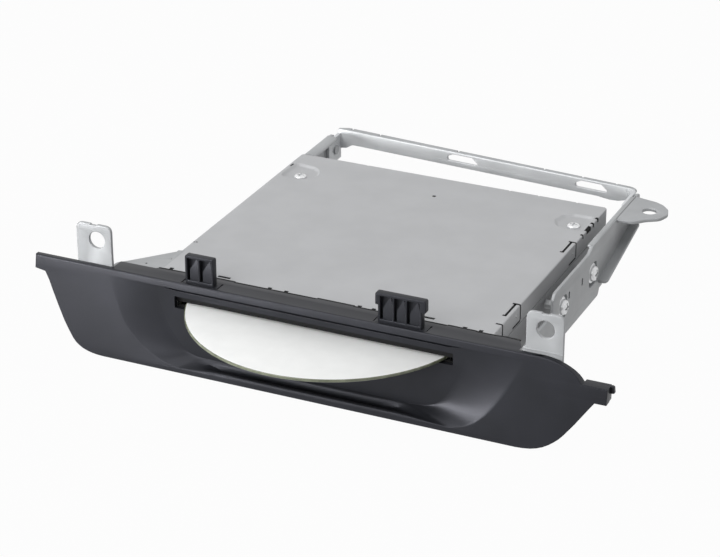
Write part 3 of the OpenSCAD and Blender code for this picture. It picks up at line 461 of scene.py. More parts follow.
LEAN = math.radians(10.0)
PANEL_TOP = 11.5
PANEL_BACK = 2.0
RIM_TOP_BACK = 0.6
END_THICKNESS = 4.0
PANEL_EDGE = 0.55
PANEL_OUTLINE = [
    (-126, 11.5), (-93, 11.5), (-92, 11.5), (92, 11.5), (93, 11.5), (97.3, 11.5), (99.7, 11.35), (102, 10.95),
    (104.2, 10.4), (106.3, 9.7), (108.4, 8.75), (110.3, 7.65), (112.0, 6.35), (113.3, 4.9), (113.9, 4.0),
    (124.3, 4.0), (124.3, -2.4), (119.6, -2.4), (117.5, -5.3), (112.6, -12.3), (108.6, -17.5),
    (107.0, -19.3), (105.2, -20.9), (103.2, -22.4), (101.0, -23.7), (98.6, -24.7), (96.0, -25.4),
    (93.0, -25.8), (90, -26), (-92, -26), (-94.6, -25.9), (-97.2, -25.6), (-99.6, -25.1), (-101.8, -24.4),
    (-103.7, -23.4), (-105.4, -22.2), (-106.8, -20.7), (-109.2, -17.3), (-111.3, -14), (-114.6, -7.8),
    (-117.7, -1.6), (-119.2, 1.6), (-121.2, 4.9), (-126, 5.6), (-126, 10.9),
]
RECESS_FRONT_LEFT = [(-91.6, 8.75), (-87.7, -0.7), (-85.0, -7.0), (-80.4, -12.9), (-73.9, -17.9),
                     (-66.5, -21.9), (-58.4, -23.9)]
RECESS_BACK_LEFT = [(-69.0, 8.75), (-67.0, -2.2), (-64.4, -8.1), (-60.4, -14.0), (-57.0, -17.9),
                    (-54.0, -19.8), (-49.0, -20.4)]
RECESS_FRONT_RIGHT = [(91.5, 8.75), (87.8, 1.4), (84.4, -5.4), (79.8, -12.9), (75.4, -17.9), (70.6, -21.7),
                      (63.0, -23.9)]
RECESS_BACK_RIGHT = [(67.5, 8.75), (64.2, -3.4), (60.2, -11.0), (57.0, -16.2), (53.0, -18.9), (48.6, -20.1),
                     (42.0, -20.4)]
SLOT = (-61.0, 0.0, 61.0, 5.2)
# Left side, right side and top of each clip
LEFT_CLIP = (-56.8, -44.0, 23.5)
RIGHT_CLIP = (28.2, 46.9, 23.9)
CLIP_FRONT, CLIP_BACK, CLIP_FLOOR, CLIP_WALL = 2.0, 5.2, 12.7, 1.0
FLANGE_PLAN = [
    (-126, 0.6), (-126, 2.25), (-90.3, 2.25), (-90.2, 8.4), (-73.9, 8.6), (-73.5, 9.1), (-60.5, 9.4),
    (-60.2, 10.0), (-39.0, 10.0), (-38.7, 9.5), (-2.5, 9.6), (-2.2, 10.2), (14.0, 10.1), (14.3, 9.6),
    (54.0, 9.4), (54.3, 9.9), (66.5, 9.7), (66.8, 9.3), (74.4, 9.3), (78.5, 9.8), (84.7, 9.4),
    (87.1, 5.2), (87.1, 2.25), (97.3, 2.25), (97.3, 0.6),
]


def lean_y(z):
    """Depth of the leaning front face at a height."""
    return -(PANEL_TOP - z) * math.tan(LEAN)


def panel_back_y(x, z):
    """Depth of the panel's back: full in the middle, thin at the ends, and short under the top flange."""
    if z > PANEL_TOP - 0.1 and x < 97.0:
        return RIM_TOP_BACK
    if abs(x) < 92.5:
        return PANEL_BACK
    return min(2.2, lean_y(z) + END_THICKNESS)


def recess_loops():
    """The recess's outline on the front face and the back wall, with each point's trough and rail share."""
    side, bottom, top = 34, 72, 40
    lines = [RECESS_FRONT_LEFT, RECESS_BACK_LEFT, RECESS_FRONT_RIGHT, RECESS_BACK_RIGHT]
    front_left, back_left, front_right, back_right = [spread(smooth_line(line), side) for line in lines]
    loops = []
    for left, right in ((front_left, front_right), (back_left, back_right)):
        loops.append(left + spread([left[-1], right[-1]], bottom)[1:-1] + right[::-1]
                     + spread([right[0], left[0]], top)[1:-1])
    trough, rail = [], []
    for i in range(len(loops[0])):
        from_left, from_right = i - side + 1, side + bottom - 2 - i
        share = max(0.0, min(1.0, from_left / 14.0, from_right / 14.0))
        trough.append(share * share * (3 - 2 * share))
        along_top = min(i - (2 * side + bottom - 3), len(loops[0]) - i)
        rail.append(max(0.0, min(1.0, along_top / 3.0)))
    return loops[0], loops[1], trough, rail


def recess_surface(front, back, trough_share, rail_share):
    """The scooped walls, the trough behind the lower lip and the step under the upper rail."""
    # Each ring: how far across and how far back it lies in the scoops, its depth and height in the trough,
    # and its depth and height in the step under the rail
    shape = [
        (0.0, 0.0, -6.26, -24.0, -0.5, 8.75), (0.012, 0.002, -6.15, -23.45, -0.48, 8.75),
        (0.03, 0.01, -5.95, -22.95, -0.3, 8.75), (0.055, 0.03, -5.6, -22.6, 0.0, 8.75),
        (0.09, 0.065, -5.15, -22.42, 0.35, 8.75), (0.2, 0.185, -4.7, -22.5, 0.75, 8.75),
        (0.4, 0.395, -4.3, -22.95, 0.8, 8.7), (0.6, 0.61, -4.1, -24.9, 0.8, 8.3),
        (0.78, 0.805, -1.4, -24.9, 0.8, 7.9), (0.86, 0.89, -1.15, -22.6, 0.55, 7.75),
        (0.91, 0.94, -0.98, -21.5, 0.3, 7.7), (0.96, 0.98, -0.62, -20.85, 0.05, 7.65),
        (1.0, 1.0, 0.0, -20.5, 0.0, 7.5),
    ]
    rings = []
    for number, (across, back_share, trough_y, trough_z, rail_y, rail_z) in enumerate(shape):
        ring = []
        for (fu, fv), (bu, bv), in_trough, in_rail in zip(front, back, trough_share, rail_share):
            u, v = fu + (bu - fu) * across, fv + (bv - fv) * across
            y = lean_y(fv) * (1 - back_share)
            if 0 < number < len(shape) - 1:
                y += (trough_y - y) * in_trough
                v += (trough_z - v) * in_trough
            if number > 0:
                y += (rail_y - y) * in_rail
                v += (rail_z - v) * in_rail
            ring.append(at(u, y, v))
        rings.append(ring)
    vertices, faces, _ = skin(rings)
    rail_foot = shape[-1][-1]
    wall_loop = [(bu, bv + (rail_foot - bv) * in_rail) for (bu, bv), in_rail in zip(back, rail_share)]
    return (vertices, faces), wall_loop


def panel_shell(front):
    """The leaning front face with its rounded edge, its sides and its back."""
    outline, hole = turned(PANEL_OUTLINE), turned(front, anticlockwise=False)
    rings = [[at(u, lean_y(v) + depth, v) for u, v in inset(outline, distance)]
             for distance, depth in quarter(PANEL_EDGE, 4)]
    rings.append([at(u, panel_back_y(u, v), v) for u, v in outline])
    vertices, faces, rows = skin(rings)
    holes = []
    for y_of in (lean_y, lambda v: PANEL_BACK):
        holes.append(list(range(len(vertices), len(vertices) + len(hole))))
        vertices += [at(u, y_of(v), v) for u, v in hole]
    faces += cap([inset(outline, PANEL_EDGE), hole], [rows[0], holes[0]])
    faces += cap([outline, hole], [rows[-1], holes[1]])
    return vertices, faces


def slit_round(left, right, front, back, width=0.65):
    """A U-shaped slit that frees a clip's tongue; its open side is at the back."""
    return [(left, back), (left, front), (right, front), (right, back), (right - width, back),
            (right - width, front + width), (left + width, front + width), (left + width, back)]


def clip_frame(left, right, top, cells, neck=None):
    """A clip: an open-fronted row of cells with a sloped latch in each, standing on the flange."""
    base, ceiling = PANEL_TOP - 0.3, top - 1.3
    if neck is None:
        outline, radii = rectangle(left, base, right, top), [0, 0, 0.8, 0.8]
    else:
        head_left, head_right, neck_z = neck
        outline = [(left, base), (right, base), (right, neck_z), (head_right, neck_z), (head_right, top),
                   (head_left, top), (head_left, neck_z), (left, neck_z)]
        radii = [0, 0, 0.3, 0.4, 0.9, 0.9, 0.4, 0.3]
    outline = rounded(outline, radii, 4)
    holes = [rounded(rectangle(a, CLIP_FLOOR, b, ceiling), 0.3, 3) for a, b in cells]
    inner_back = CLIP_BACK - CLIP_WALL
    parts = [sheet([outline] + holes, inner_back - CLIP_FRONT + 0.05, 0.35, facing_front(CLIP_FRONT), 0.0),
             sheet([inset(outline, 0.03)], CLIP_WALL, 0.0, facing_front(inner_back), 0.3)]
    knee = CLIP_FLOOR + 0.48 * (ceiling - CLIP_FLOOR)
    # The latch in a cell is an upright block with a three-sided top that leans back to the right
    for a, b in cells:
        foot = rectangle(a + 0.2 * (b - a), CLIP_FRONT + 0.7, b + 0.1, inner_back + 0.02)
        low, mid = [[at(x, y, z) for x, y in foot] for z in (CLIP_FLOOR - 0.1, knee)]
        peak = at(a + 0.72 * (b - a), inner_back + 0.02, ceiling - 0.5)
        faces = [Flat((i, (i + 1) % 4, 4 + (i + 1) % 4, 4 + i)) for i in range(4)]
        faces += [Flat((4, 5, 8)), Flat((5, 6, 8)), Flat((7, 4, 8)), Flat((6, 7, 8)), Flat((0, 1, 2, 3))]
        parts.append((low + mid + [peak], faces))
    return joined(*parts)


def build_panel(materials):
    """The moulded front panel with its recess, slot, flange, end tabs and clips."""
    front, back, trough_share, rail_share = recess_loops()
    recess, wall_loop = recess_surface(front, back, trough_share, rail_share)
    slot_loop = rounded(rectangle(*SLOT), 0.4, 3)
    slits = [slit_round(-58.4, -41.6, 0.9, 6.2), slit_round(26.3, 49.6, 0.9, 6.6)]
    # The catch stands out at the end of the right tab
    catch = rounded([(123.9, 0.6), (125.9, 0.9), (125.6, 3.5), (124.9, 3.8), (123.9, 3.8)], 0.4, 3)
    parts = joined(
        panel_shell(front),
        recess,
        sheet([wall_loop, slot_loop], 1.9, 0.0, facing_front(0.0)),
        sheet([FLANGE_PLAN] + slits, 0.65, 0.04, in_plan(PANEL_TOP)),
        block((114.0, 0.0, -2.38), (124.27, 4.2, 3.97), 0.35),
        sheet([catch], 1.8, 0.3, facing_front(2.3)),
        clip_frame(*LEFT_CLIP, [(-55.8, -51.0), (-50.1, -45.0)]),
        clip_frame(*RIGHT_CLIP, [(29.2, 34.3), (35.2, 39.7), (40.6, 45.8)], (27.0, 48.4, 18.7)),
    )
    piece = finish_mesh("moulded_front_panel", *parts, materials["panel"], smooth_angle=PLATE_SHARP_ANGLE)
    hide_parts("bezel")
    # A black strip under the flange's rear edge is painted shadow: it shows on the cover as the dark line of
    # the gap's shade
    edge = [point for point in FLANGE_PLAN if point[1] > 9.0]
    strip = [(x, y + 1.6) for x, y in edge] + [(x, y - 1.0) for x, y in edge[::-1]]
    shadow_strip_mesh = sheet([strip], 0.3, 0.05, in_plan(CASE_TOP_Z + 0.32))
    shadow_strip = finish_mesh("flange_painted_shadow_strip", *shadow_strip_mesh, materials["felt"])


# Disc

DISC_PLACE = (0.0, 21.31, 0.7)
# Radius and height of each part's cross-section, above the disc's underside
DISC_BODY = [(7.5, 0.1), (7.6, 0.0), (59.8, 0.0), (60.0, 0.2), (60.0, 1.0), (59.8, 1.17), (7.6, 1.17),
             (7.5, 1.07)]
DISC_PRINT = [(11.5, 1.15), (59.5, 1.15), (59.6, 1.17), (59.5, 1.2), (11.6, 1.2), (11.45, 1.18)]
DISC_FOIL = [(8.6, 1.16), (11.4, 1.16), (11.4, 1.185), (8.6, 1.185)]


def build_disc(materials):
    """The disc: a clear body, a printed white top and a bright ring of foil between bore and print."""
    for name, profile, key, count in (("disc_clear_body", DISC_BODY, "rim", 160),
                                      ("disc_printed_top", DISC_PRINT, "disc", 160),
                                      ("disc_foil_ring", DISC_FOIL, "screw", 96)):
        shape = lathe(profile, DISC_PLACE, (0, 0, 1), count)
        piece = finish_mesh(name, *shape, materials[key], "disc_body")
    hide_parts("disc")


# Housing

CASE = (-73.25, CASE_FRONT_Y, 73.25, 144.5)
CASE_ROUND = 2.0
COVER_SHEET = 0.8
SKIRT_LOW = 0.85
REAR_SKIRT_LOW = 5.35
LEFT_POCKET = [(-71.6, 117.2), (-62.3, 117.4), (-57.9, 119.0), (-55.4, 124.3), (-57.2, 129.8),
               (-61.0, 132.8), (-71.0, 134.0)]
RIGHT_POCKET = [(71.7, 116.8), (71.7, 133.0), (62.0, 132.4), (58.3, 129.4), (56.6, 123.2), (58.6, 118.2),
                (62.6, 116.4)]
POCKET_ROUND, POCKET_DEPTH = 3.0, 1.0
CUTTER_DEPTH = 4.0
COVER_SCREWS = [(-63.2, 121.5), (65.9, 121.5)]
LANCES = [(28.0, 40.6), (93.0, 105.2)]


def cover_solid(side, low, high, edge):
    """A block whose rear corners and top edges are rounded like bent sheet."""
    plan = rounded(rectangle(*side), [0, 0, CASE_ROUND, CASE_ROUND], 5)
    profile = quarter(edge, 4)
    rings = [[at(u, v, high - depth) for u, v in inset(plan, distance)] for distance, depth in profile]
    vertices, faces, rows = skin(rings + [[at(u, v, low) for u, v in plan]])
    faces += cap([inset(plan, profile[0][0])], [rows[0]]) + cap([plan], [rows[-1]])
    return vertices, faces


def cover_cuts():
    """Rectangles cut through the cover's top (width, depth) and through its right side (depth, height)."""
    # A slit at the right edge, two slits near the front, two small dots and a nick beside the left pocket
    top = [(70.4, 20.0, 74.0, 21.2), (-48.0, 12.9, -42.4, 14.4), (42.4, 13.5, 47.2, 15.0),
           (-73.0, 38.6, -72.2, 39.5), (-71.9, 38.9, -71.1, 39.8), (-72.1, 129.0, -71.1, 132.0)]
    # The long thin one is the seam where the cover's skirt is joggled over the tray
    side = [(20.0, 3.4, 21.2, 12.0), (16.0, 2.7, 142.0, 3.0)]
    for start, end in LANCES:
        # A lanced tab: a slit with a hook at each end on top, and an L on the side
        top += [(70.7, start, 71.8, end), (70.0, start, 71.4, start + 1.2), (69.9, end - 1.3, 74.0, end)]
        side += [(end - 1.3, 4.2, end, 12.0), (end - 9.0, 3.4, end - 0.5, 4.4)]
    for start, end in ((112.2, 113.8), (117.4, 123.0), (125.2, 127.0), (130.8, 132.8)):
        top.append((72.0, start, 74.0, end))
        side.append((start, 9.2, end, 12.0))
    # Notches in the rear edge and in the edge under the panel's flange
    top += [(x - 0.5, 143.7, x + 0.5, 146.0) for x in (-40.5, 28.0, 41.6, 59.3)]
    top += [(x - 0.9, 1.0, x + 0.9, 13.0) for x in (-68.6, -23.8, -16.5, 15.9, 22.0, 60.8, 67.6)]
    return top, side


def pocket_dish(pocket, screw):
    """The dished floor of a pocket, with a hole for its screw."""
    loop = turned(rounded(pocket, POCKET_ROUND, 4))
    hole = circle(*screw, 1.7, 24)[::-1]
    profile = [(-0.15, -0.01), (0.2, 0.08), (0.7, 0.45), (1.3, 0.9), (1.8, POCKET_DEPTH)]
    rings = [[at(u, v, CASE_TOP_Z - drop) for u, v in inset(loop, distance)] for distance, drop in profile]
    vertices, faces, rows = skin(rings)
    numbers = list(range(len(vertices), len(vertices) + len(hole)))
    vertices += [at(u, v, CASE_TOP_Z - POCKET_DEPTH) for u, v in hole]
    faces += cap([inset(loop, profile[-1][0]), hole], [rows[-1], numbers])
    return vertices, faces


def shade_patch(left, front, right, rear, depth=0.75):
    """A black patch just under the cover's top: painted shade seen through a slit, hole or notch."""
    return block((left, front, CASE_TOP_Z - depth), (right, rear, CASE_TOP_Z - 0.15))


def build_cover(materials):
    """The pressed cover: bent skirts, screw pockets, lanced tabs, slits and notches."""
    left, front, right, rear = CASE
    outer = cover_solid(CASE, SKIRT_LOW, CASE_TOP_Z, 0.5)
    inside = cover_solid((left + COVER_SHEET, front - 5.0, right - COVER_SHEET, rear - COVER_SHEET),
                         SKIRT_LOW - 5.0, CASE_TOP_Z - COVER_SHEET, 0.4)
    above, below = CASE_TOP_Z + 1.0, CASE_TOP_Z - 2.2
    cutters = [inside, block((left + 1.5, rear - 2.0, -5.0), (right - 1.5, rear + 2.0, REAR_SKIRT_LOW))]
    for loop in (rounded(LEFT_POCKET, POCKET_ROUND, 4), rounded(RIGHT_POCKET, POCKET_ROUND, 4),
                 circle(0.2, 124.7, 0.9, 20)):
        cutters.append(sheet([loop], CUTTER_DEPTH, 0.0, in_plan(above)))
    top_cuts, side_cuts = cover_cuts()
    cutters += [block((x0, y0, below), (x1, y1, above)) for x0, y0, x1, y1 in top_cuts]
    cutters += [block((72.0, y0, z0), (74.0, y1, z1)) for y0, z0, y1, z1 in side_cuts]
    piece = carved("pressed_top_cover", outer, cutters, materials["cover"])
    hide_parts("top_cover")
    # Black patches under the cover's top and inside its side show through its slits, holes and notches:
    # painted shade that stands for the dark depth behind them
    shade_patches = [shade_patch(x0 - 0.1, y0 - 0.1, min(x1, 72.6) + 0.1, min(y1, 143.8) + 0.1)
            for x0, y0, x1, y1 in top_cuts]
    shade_patches += [block((72.5, y0 - 0.1, z0 - 0.1), (73.1, y1 + 0.1, min(z1, CASE_TOP_Z - 0.4)))
             for y0, z0, y1, z1 in side_cuts]
    shade_patches += [shade_patch(x - 1.0, y - 1.0, x + 1.0, y + 1.0, 0.9) for x, y, _ in GUSSET_HOLES]
    shade_patches.append(shade_patch(-1.0, 123.5, 1.4, 125.9))
    slit_shade = finish_mesh("cover_slit_painted_shade", *joined(*shade_patches), materials["felt"])
    dishes = [pocket_dish(LEFT_POCKET, COVER_SCREWS[0]), pocket_dish(RIGHT_POCKET, COVER_SCREWS[1])]
    # Small domes on the lanced tabs
    dome = [(0.0, 0.35), (0.35, 0.3), (0.6, 0.0), (0.0, 0.0)]
    dishes += [lathe(dome, (right, end - 5.2, 7.6), (1, 0, 0), 20) for _, end in LANCES]
    pockets = finish_mesh("pressed_cover_pockets", *joined(*dishes), materials["cover"], smooth_angle=60.0)


def pan_head(centre, axis, radius, height, flange=None):
    """A domed screw head with an optional flange: its solid, and the cutters of its cross recess."""
    profile = [(0.0, 0.0), (radius, 0.0), (radius, 0.45 * height), (0.86 * radius, 0.8 * height),
               (0.55 * radius, 0.97 * height), (0.0, height)]
    if flange:
        profile = [(0.0, -0.7), (flange, -0.7), (flange + 0.1, -0.35), (flange - 0.2, 0.0)] + profile[1:]
    solid = lathe(profile, centre, axis, 40)
    axis = Vector(axis).normalized()
    first = axis.orthogonal().normalized()
    first = (first + axis.cross(first)).normalized()
    second = axis.cross(first)
    reach, half_width = 0.62 * radius, 0.14 * radius
    bars = []
    for along, across in ((first, second), (second, first)):
        corners = [at(*(Vector(centre) + axis * z + along * a + across * b))
                   for z in (0.35 * height, 1.3 * height)
                   for a, b in rectangle(-reach, -half_width, reach, half_width)]
        faces = [(0, 1, 2, 3), (7, 6, 5, 4)] + [(i, (i + 1) % 4, 4 + (i + 1) % 4, 4 + i) for i in range(4)]
        bars.append((corners, faces))
    return solid, bars


def build_cover_screws(materials):
    """The two cross-recessed screws in the cover's pockets."""
    heads, bars = [], []
    for x, y in COVER_SCREWS:
        solid, cuts = pan_head((x, y, CASE_TOP_Z - POCKET_DEPTH), (0, 0, 1), 2.7, 1.25)
        heads.append(solid)
        bars += cuts
    piece = carved("cover_pan_head_screws", joined(*heads), bars, materials["screw"])
    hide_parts("cover_screws")


# Brackets

PLATE = 1.5
BRACKET_LOW = -15.75
EAR_Y = CASE_FRONT_Y
EAR_HOLE_X, EAR_HOLE_Z, EAR_HOLE_R = 97.5, 22.1, 3.7
REAR_EAR_HOLE = (91.0, 148.0, 3.15)
RIGHT_X = 79.5
RIGHT_PLATE = [
    (2.3, BRACKET_LOW), (113, BRACKET_LOW), (115.5, -11), (113.2, -9.8), (155, 0.3), (165, 2.6), (165, 11),
    (104, 11), (100, 8.75), (60, 8.75), (57.4, 6.5), (57.4, 0), (2.3, 0),
]
RIGHT_PLATE_RADII = [0.5, 2.0, 1.0, 0.5, 1.0, 1.0, 1.5, 1.0, 2.0, 2.5, 2.5, 1.0, 0.5]
STUDS = [(68.9, -1.9), (105.3, -2.4)]
GUSSET_HOLES = [(-73.7, 20.2, 0.75), (-80.5, 12.3, 0.5)]


def ear_outline(root, foot_top, inner, outer, top, flare):
    """Outline of a front flange that ends in an ear with rounded corners and a small notch in its top."""
    middle, neck = (inner + outer) / 2, inner - flare
    points = [(root, BRACKET_LOW), (outer, BRACKET_LOW), (outer, top), (middle + 1.6, top),
              (middle + 1.3, top - 0.45), (middle - 1.3, top - 0.45), (middle - 1.6, top), (inner, top),
              (inner, 14.2), (neck, 12.6), (neck, foot_top), (root, foot_top)]
    return rounded(points, [0, 0.5, 4.2, 0.2, 0.2, 0.2, 0.2, 4.2, 1.0, 1.0, 0.8, 0], 7)


def build_left_bracket(materials):
    """The left bracket's side plate, gusset and front ear."""
    ear = [(-u, v) for u, v in ear_outline(73.3, 9.3, 90.8, 107.0, 28.9, 0.05)]
    side = rounded([(EAR_Y, BRACKET_LOW), (144.9, BRACKET_LOW), (144.9, 9.0), (33, 9.0), (29, 10.8),
                    (EAR_Y, 10.8)], 1.0, 3)
    gusset = rounded([(-71.9, 30.2), (-74.4, 27.6), (-88.2, 11.6), (-92, 8), (-92, 2.32), (-71.9, 2.32)],
                     [0.2, 2.0, 2.5, 2.5, 0.2, 0.2], 4)
    holes = [circle(x, y, radius, 16) for x, y, radius in GUSSET_HOLES]
    parts = joined(
        sheet([ear, circle(-EAR_HOLE_X, EAR_HOLE_Z, EAR_HOLE_R, 48)], PLATE, 0.25, facing_front(EAR_Y)),
        sheet([side], PLATE, 0.2, facing_left(-74.75)),
        sheet([gusset] + holes, PLATE, 0.05, in_plan(CASE_TOP_Z + 0.02)),
    )
    piece = finish_mesh("left_side_bracket", *parts, materials["bracket"], smooth_angle=PLATE_SHARP_ANGLE)
    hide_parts("left_bracket")


def build_left_arm(materials):
    """The left bracket's arm: an upright wall that runs back, its upper edge rolled over to the middle."""
    wall = rounded([(144.6, -3.0), (177, -3.0), (177, 6.4), (173.0, 10.0), (144.6, 10.0)],
                   [0.2, 1.0, 2.0, 2.5, 0.2], 5)
    hook = rounded(rectangle(171.5, -3.6, 176.9, 0.0), 0.8, 3)
    # The rolled rim is a cross-section of width and height that runs back and closes at its rounded end
    outer_x, middle_z = -72.5, 9.9
    section = [(outer_x, 9.2), (-72.45, 10.2), (-72.0, 10.75), (-71.2, 10.95), (-69.0, 10.95), (-67.4, 10.85),
               (-66.6, 10.5), (-66.4, 10.0), (-66.7, 9.6), (-69.5, 9.5), (-71.0, 9.3)]
    rings = []
    for y, scale in ((144.55, 1.0), (160.0, 1.0), (166.4, 1.0), (168.0, 0.93), (168.9, 0.75), (169.3, 0.45),
                     (169.4, 0.1)):
        rings.append([at(outer_x + (x - outer_x) * scale, y, middle_z + (z - middle_z) * (1 + scale) / 2)
                      for x, z in section])
    vertices, faces, rows = skin(rings)
    faces += [Flat(rows[0]), Flat(rows[-1])]
    step = block((-74.75, 144.4, -3.0), (-71.0, 146.2, 9.0), 0.4)
    arm = joined(
        sheet([wall], PLATE, 0.25, facing_left(outer_x)),
        sheet([hook], 0.8, 0.2, facing_left(-71.6)),
        (vertices, faces),
        step,
    )
    rear = finish_mesh("left_rear_arm", *arm, materials["bracket"], smooth_angle=45.0)


def build_right_bracket(materials):
    """The right bracket: side plate with its cups, front ear, turned lower lip and rear ear."""
    plate = sheet([rounded(RIGHT_PLATE, RIGHT_PLATE_RADII, 5)], PLATE, 0.3, facing_right(RIGHT_X + PLATE))
    openings = [rounded(rectangle(y - 5.0, z - 5.4, y + 4.6, z + 5.2), 3.4, 5) for y, z in STUDS]
    openings += [rounded(rectangle(y - 0.8, z - 1.7, y + 0.8, z + 1.7), 0.6, 3)
                 for y, z in ((91.7, -0.2), (75.9, 0.6))]
    cutters = [sheet([loop], CUTTER_DEPTH, 0.0, facing_right(RIGHT_X + PLATE + 1.0)) for loop in openings]
    piece = carved("right_side_bracket", plate, cutters, materials["bracket"])
    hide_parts("right_bracket")
    ear = ear_outline(RIGHT_X, 0.0, 89.7, 104.9, 28.8, 1.3)
    rear_ear = rounded([(80.3, 134.2), (87.7, 134.2), (92.3, 139.2), (97.5, 142.6), (99.3, 148), (97.8, 153),
                        (94.5, 156.6), (90.6, 158.7), (80.3, 160.8)], [0.1, 6, 9, 5, 5, 5, 5, 6, 0.1], 6)
    # The cups' floors lie behind the plate
    floors = [rounded(rectangle(y - 4.6, z - 5.2, y + 5.6, z + 6.2), 3.0, 5) for y, z in STUDS]
    # The turned lip runs along the plate's lower rear edge, which rises to the rear
    lip_start = Vector((113.2, -9.8))
    rise = math.atan2(10.1, 41.8)
    lip = rounded(rectangle(0.0, -0.4, 5.4, 42.5), [0.2, 3.2, 0.6, 0.2], 5)

    def on_lip(u, v, depth):
        along, up = Vector((math.cos(rise), math.sin(rise))), Vector((-math.sin(rise), math.cos(rise)))
        return at(RIGHT_X + u, *(lip_start + along * v + up * (PLATE - depth)))

    strip = rounded(rectangle(78.2, 104.0, 81.03, 160.0), [1.0, 0.3, 0.3, 1.0], 4)
    parts = joined(
        sheet([ear, circle(EAR_HOLE_X, EAR_HOLE_Z, EAR_HOLE_R, 48)], PLATE, 0.25, facing_front(EAR_Y)),
        sheet([rear_ear, circle(*REAR_EAR_HOLE, 48)], PLATE, 0.3, in_plan(11.0)),
        sheet([lip], PLATE, 0.45, on_lip),
        block((88.8, 2.0, 12.5), (105.05, 2.6, 13.1), 0.12),
        sheet([strip], PLATE, 0.55, in_plan(11.02)),
        *[sheet([floor], 0.4, 0.0, facing_right(RIGHT_X + 0.2)) for floor in floors],
    )
    ears = finish_mesh("right_bracket_ears", *parts, materials["bracket"], smooth_angle=PLATE_SHARP_ANGLE)


def build_studs(materials):
    """The flanged screws that hold the right bracket to the housing."""
    heads, bars = [], []
    shank = [(0.0, 0.0), (1.9, 0.0), (1.9, 6.6), (0.0, 6.6)]
    for y, z in STUDS:
        solid, cuts = pan_head((RIGHT_X + 0.9, y + 0.6, z), (1, 0, 0), 3.3, 2.2, 4.5)
        heads += [solid, lathe(shank, (73.3, y + 0.6, z), (1, 0, 0), 24)]
        bars += cuts
    piece = carved("bracket_flange_screws", joined(*heads), bars, materials["screw"])
    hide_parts("bracket_studs")


# Rear cross bar

BAR_Y = 173.0
BAR_SKEW = math.radians(3.97)
BAR_LEFT, BAR_RIGHT, BAR_CORNER = -71.0, 74.0, 5.0
BAR_LOW, BAR_TOP, BAR_FLANGE = 4.2, 11.0, 2.2


def bar_front_y(x):
    """Depth of the bar's front face."""
    return BAR_Y - x * math.tan(BAR_SKEW)


def build_cross_bar(materials):
    """The rear cross bar: upright web with slots, turned top flange, bent right end and left tab."""

    def on_bar(u, v, depth):
        return at(u + depth * math.sin(BAR_SKEW), bar_front_y(u) + depth * math.cos(BAR_SKEW), v)

    web = [(BAR_LEFT, 1.4), (BAR_LEFT + 4.5, 2.2), (BAR_LEFT + 7.5, BAR_LOW), (60.0, BAR_LOW), (66.0, 3.6),
           (70.0, 3.9), (BAR_RIGHT, 5.0), (BAR_RIGHT, BAR_TOP), (BAR_LEFT, BAR_TOP)]
    web = rounded(web, [0.2, 2.5, 3.0, 4.0, 4.0, 4.0, 0.2, 0.2, 0.2], 4)
    slots = []
    for x in (-6.5, 57.0):
        slot = [(x - 7.5, 6.6), (x + 7.0, 6.6), (x + 7.6, 7.6), (x + 4.6, 10.0), (x - 4.8, 10.0),
                (x - 7.8, 8.4)]
        slots.append(rounded(slot, [1.4, 0.4, 0.6, 1.2, 1.2, 1.6], 4))
    corner_y = bar_front_y(BAR_RIGHT) + PLATE - BAR_CORNER

    def around(reach, reach_back, steps=8):
        """Points of the right end's bend, from the rear to the right."""
        angles = [math.radians(90.0 * i / steps) for i in range(steps + 1)]
        return [(BAR_RIGHT + reach * math.sin(a), corner_y + reach_back * math.cos(a)) for a in angles]

    outer = around(BAR_CORNER, BAR_CORNER)
    inner = around(BAR_CORNER - PLATE, BAR_CORNER - PLATE)
    bend = inner + [(inner[-1][0], 150.4), (outer[-1][0], 150.4)] + outer[::-1]
    flange = [(x, bar_front_y(x) + 0.2) for x in (BAR_LEFT, BAR_RIGHT)] + [outer[4], outer[6]]
    flange += around(BAR_CORNER + 0.6, BAR_CORNER + BAR_FLANGE - 1.2)[5::-1]
    flange += [(BAR_LEFT + 4.6, bar_front_y(BAR_LEFT + 4.6) + PLATE + BAR_FLANGE),
               (BAR_LEFT, bar_front_y(BAR_LEFT) + PLATE)]
    tab = rounded([(165.0, -3.0), (178.2, -3.0), (178.2, 9.2), (168.0, 9.2), (165.0, 6.4)],
                  [0.8, 0.3, 0.3, 1.5, 1.0], 4)
    solid = joined(
        sheet([web] + slots, PLATE, 0.25, on_bar),
        sheet([bend], BAR_TOP - 5.0, 0.25, in_plan(BAR_TOP)),
        sheet([tab], PLATE, 0.2, facing_left(BAR_LEFT)),
    )
    # The web takes the paler copy of the plated sheet, which is painted light
    piece = finish_mesh("rear_bar_web", *solid, materials["bar"], smooth_angle=PLATE_SHARP_ANGLE)
    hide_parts("rear_cross_bar")
    cutters = []
    for x in (-64.5, -50.0, -9.5, 33.4, 52.1, 68.4):
        y = bar_front_y(x) + 2.6
        cutters.append(block((x - 0.5, y - 1.0, 10.2), (x + 0.5, y + 4.0, 12.0)))
    flange_sheet = sheet([flange], 1.2, 0.35, in_plan(BAR_TOP + 0.03))
    top = carved("rear_bar_top_flange", flange_sheet, cutters, materials["bracket"])


# Finishes of the CAD pieces that keep their shape

SLOT_FINISHES = {
    "housing_steel": "cover", "bracket_steel": "bracket", "bright_steel": "screw", "rubber": "rubber",
    "white_plastic": "acetal", "black_plastic": "black", "brass": "brass", "board": "board", "lens": "lens",
    "felt": "felt",
}
# The bar's rivets match the brackets
NODE_FINISHES = {"bar_rivets": "bracket"}


def dress_cad_pieces(materials):
    """Gives each CAD piece that no other piece replaces the finish of its material slot."""
    for row in frame["record"]["subparts"]:
        piece = frame["nodes"][row["node"]]
        if not piece.hide_render:
            key = NODE_FINISHES.get(row["node"]) or SLOT_FINISHES[row["material_slot"]]
            piece.data.materials.clear()
            piece.data.materials.append(materials[key])


# Stage

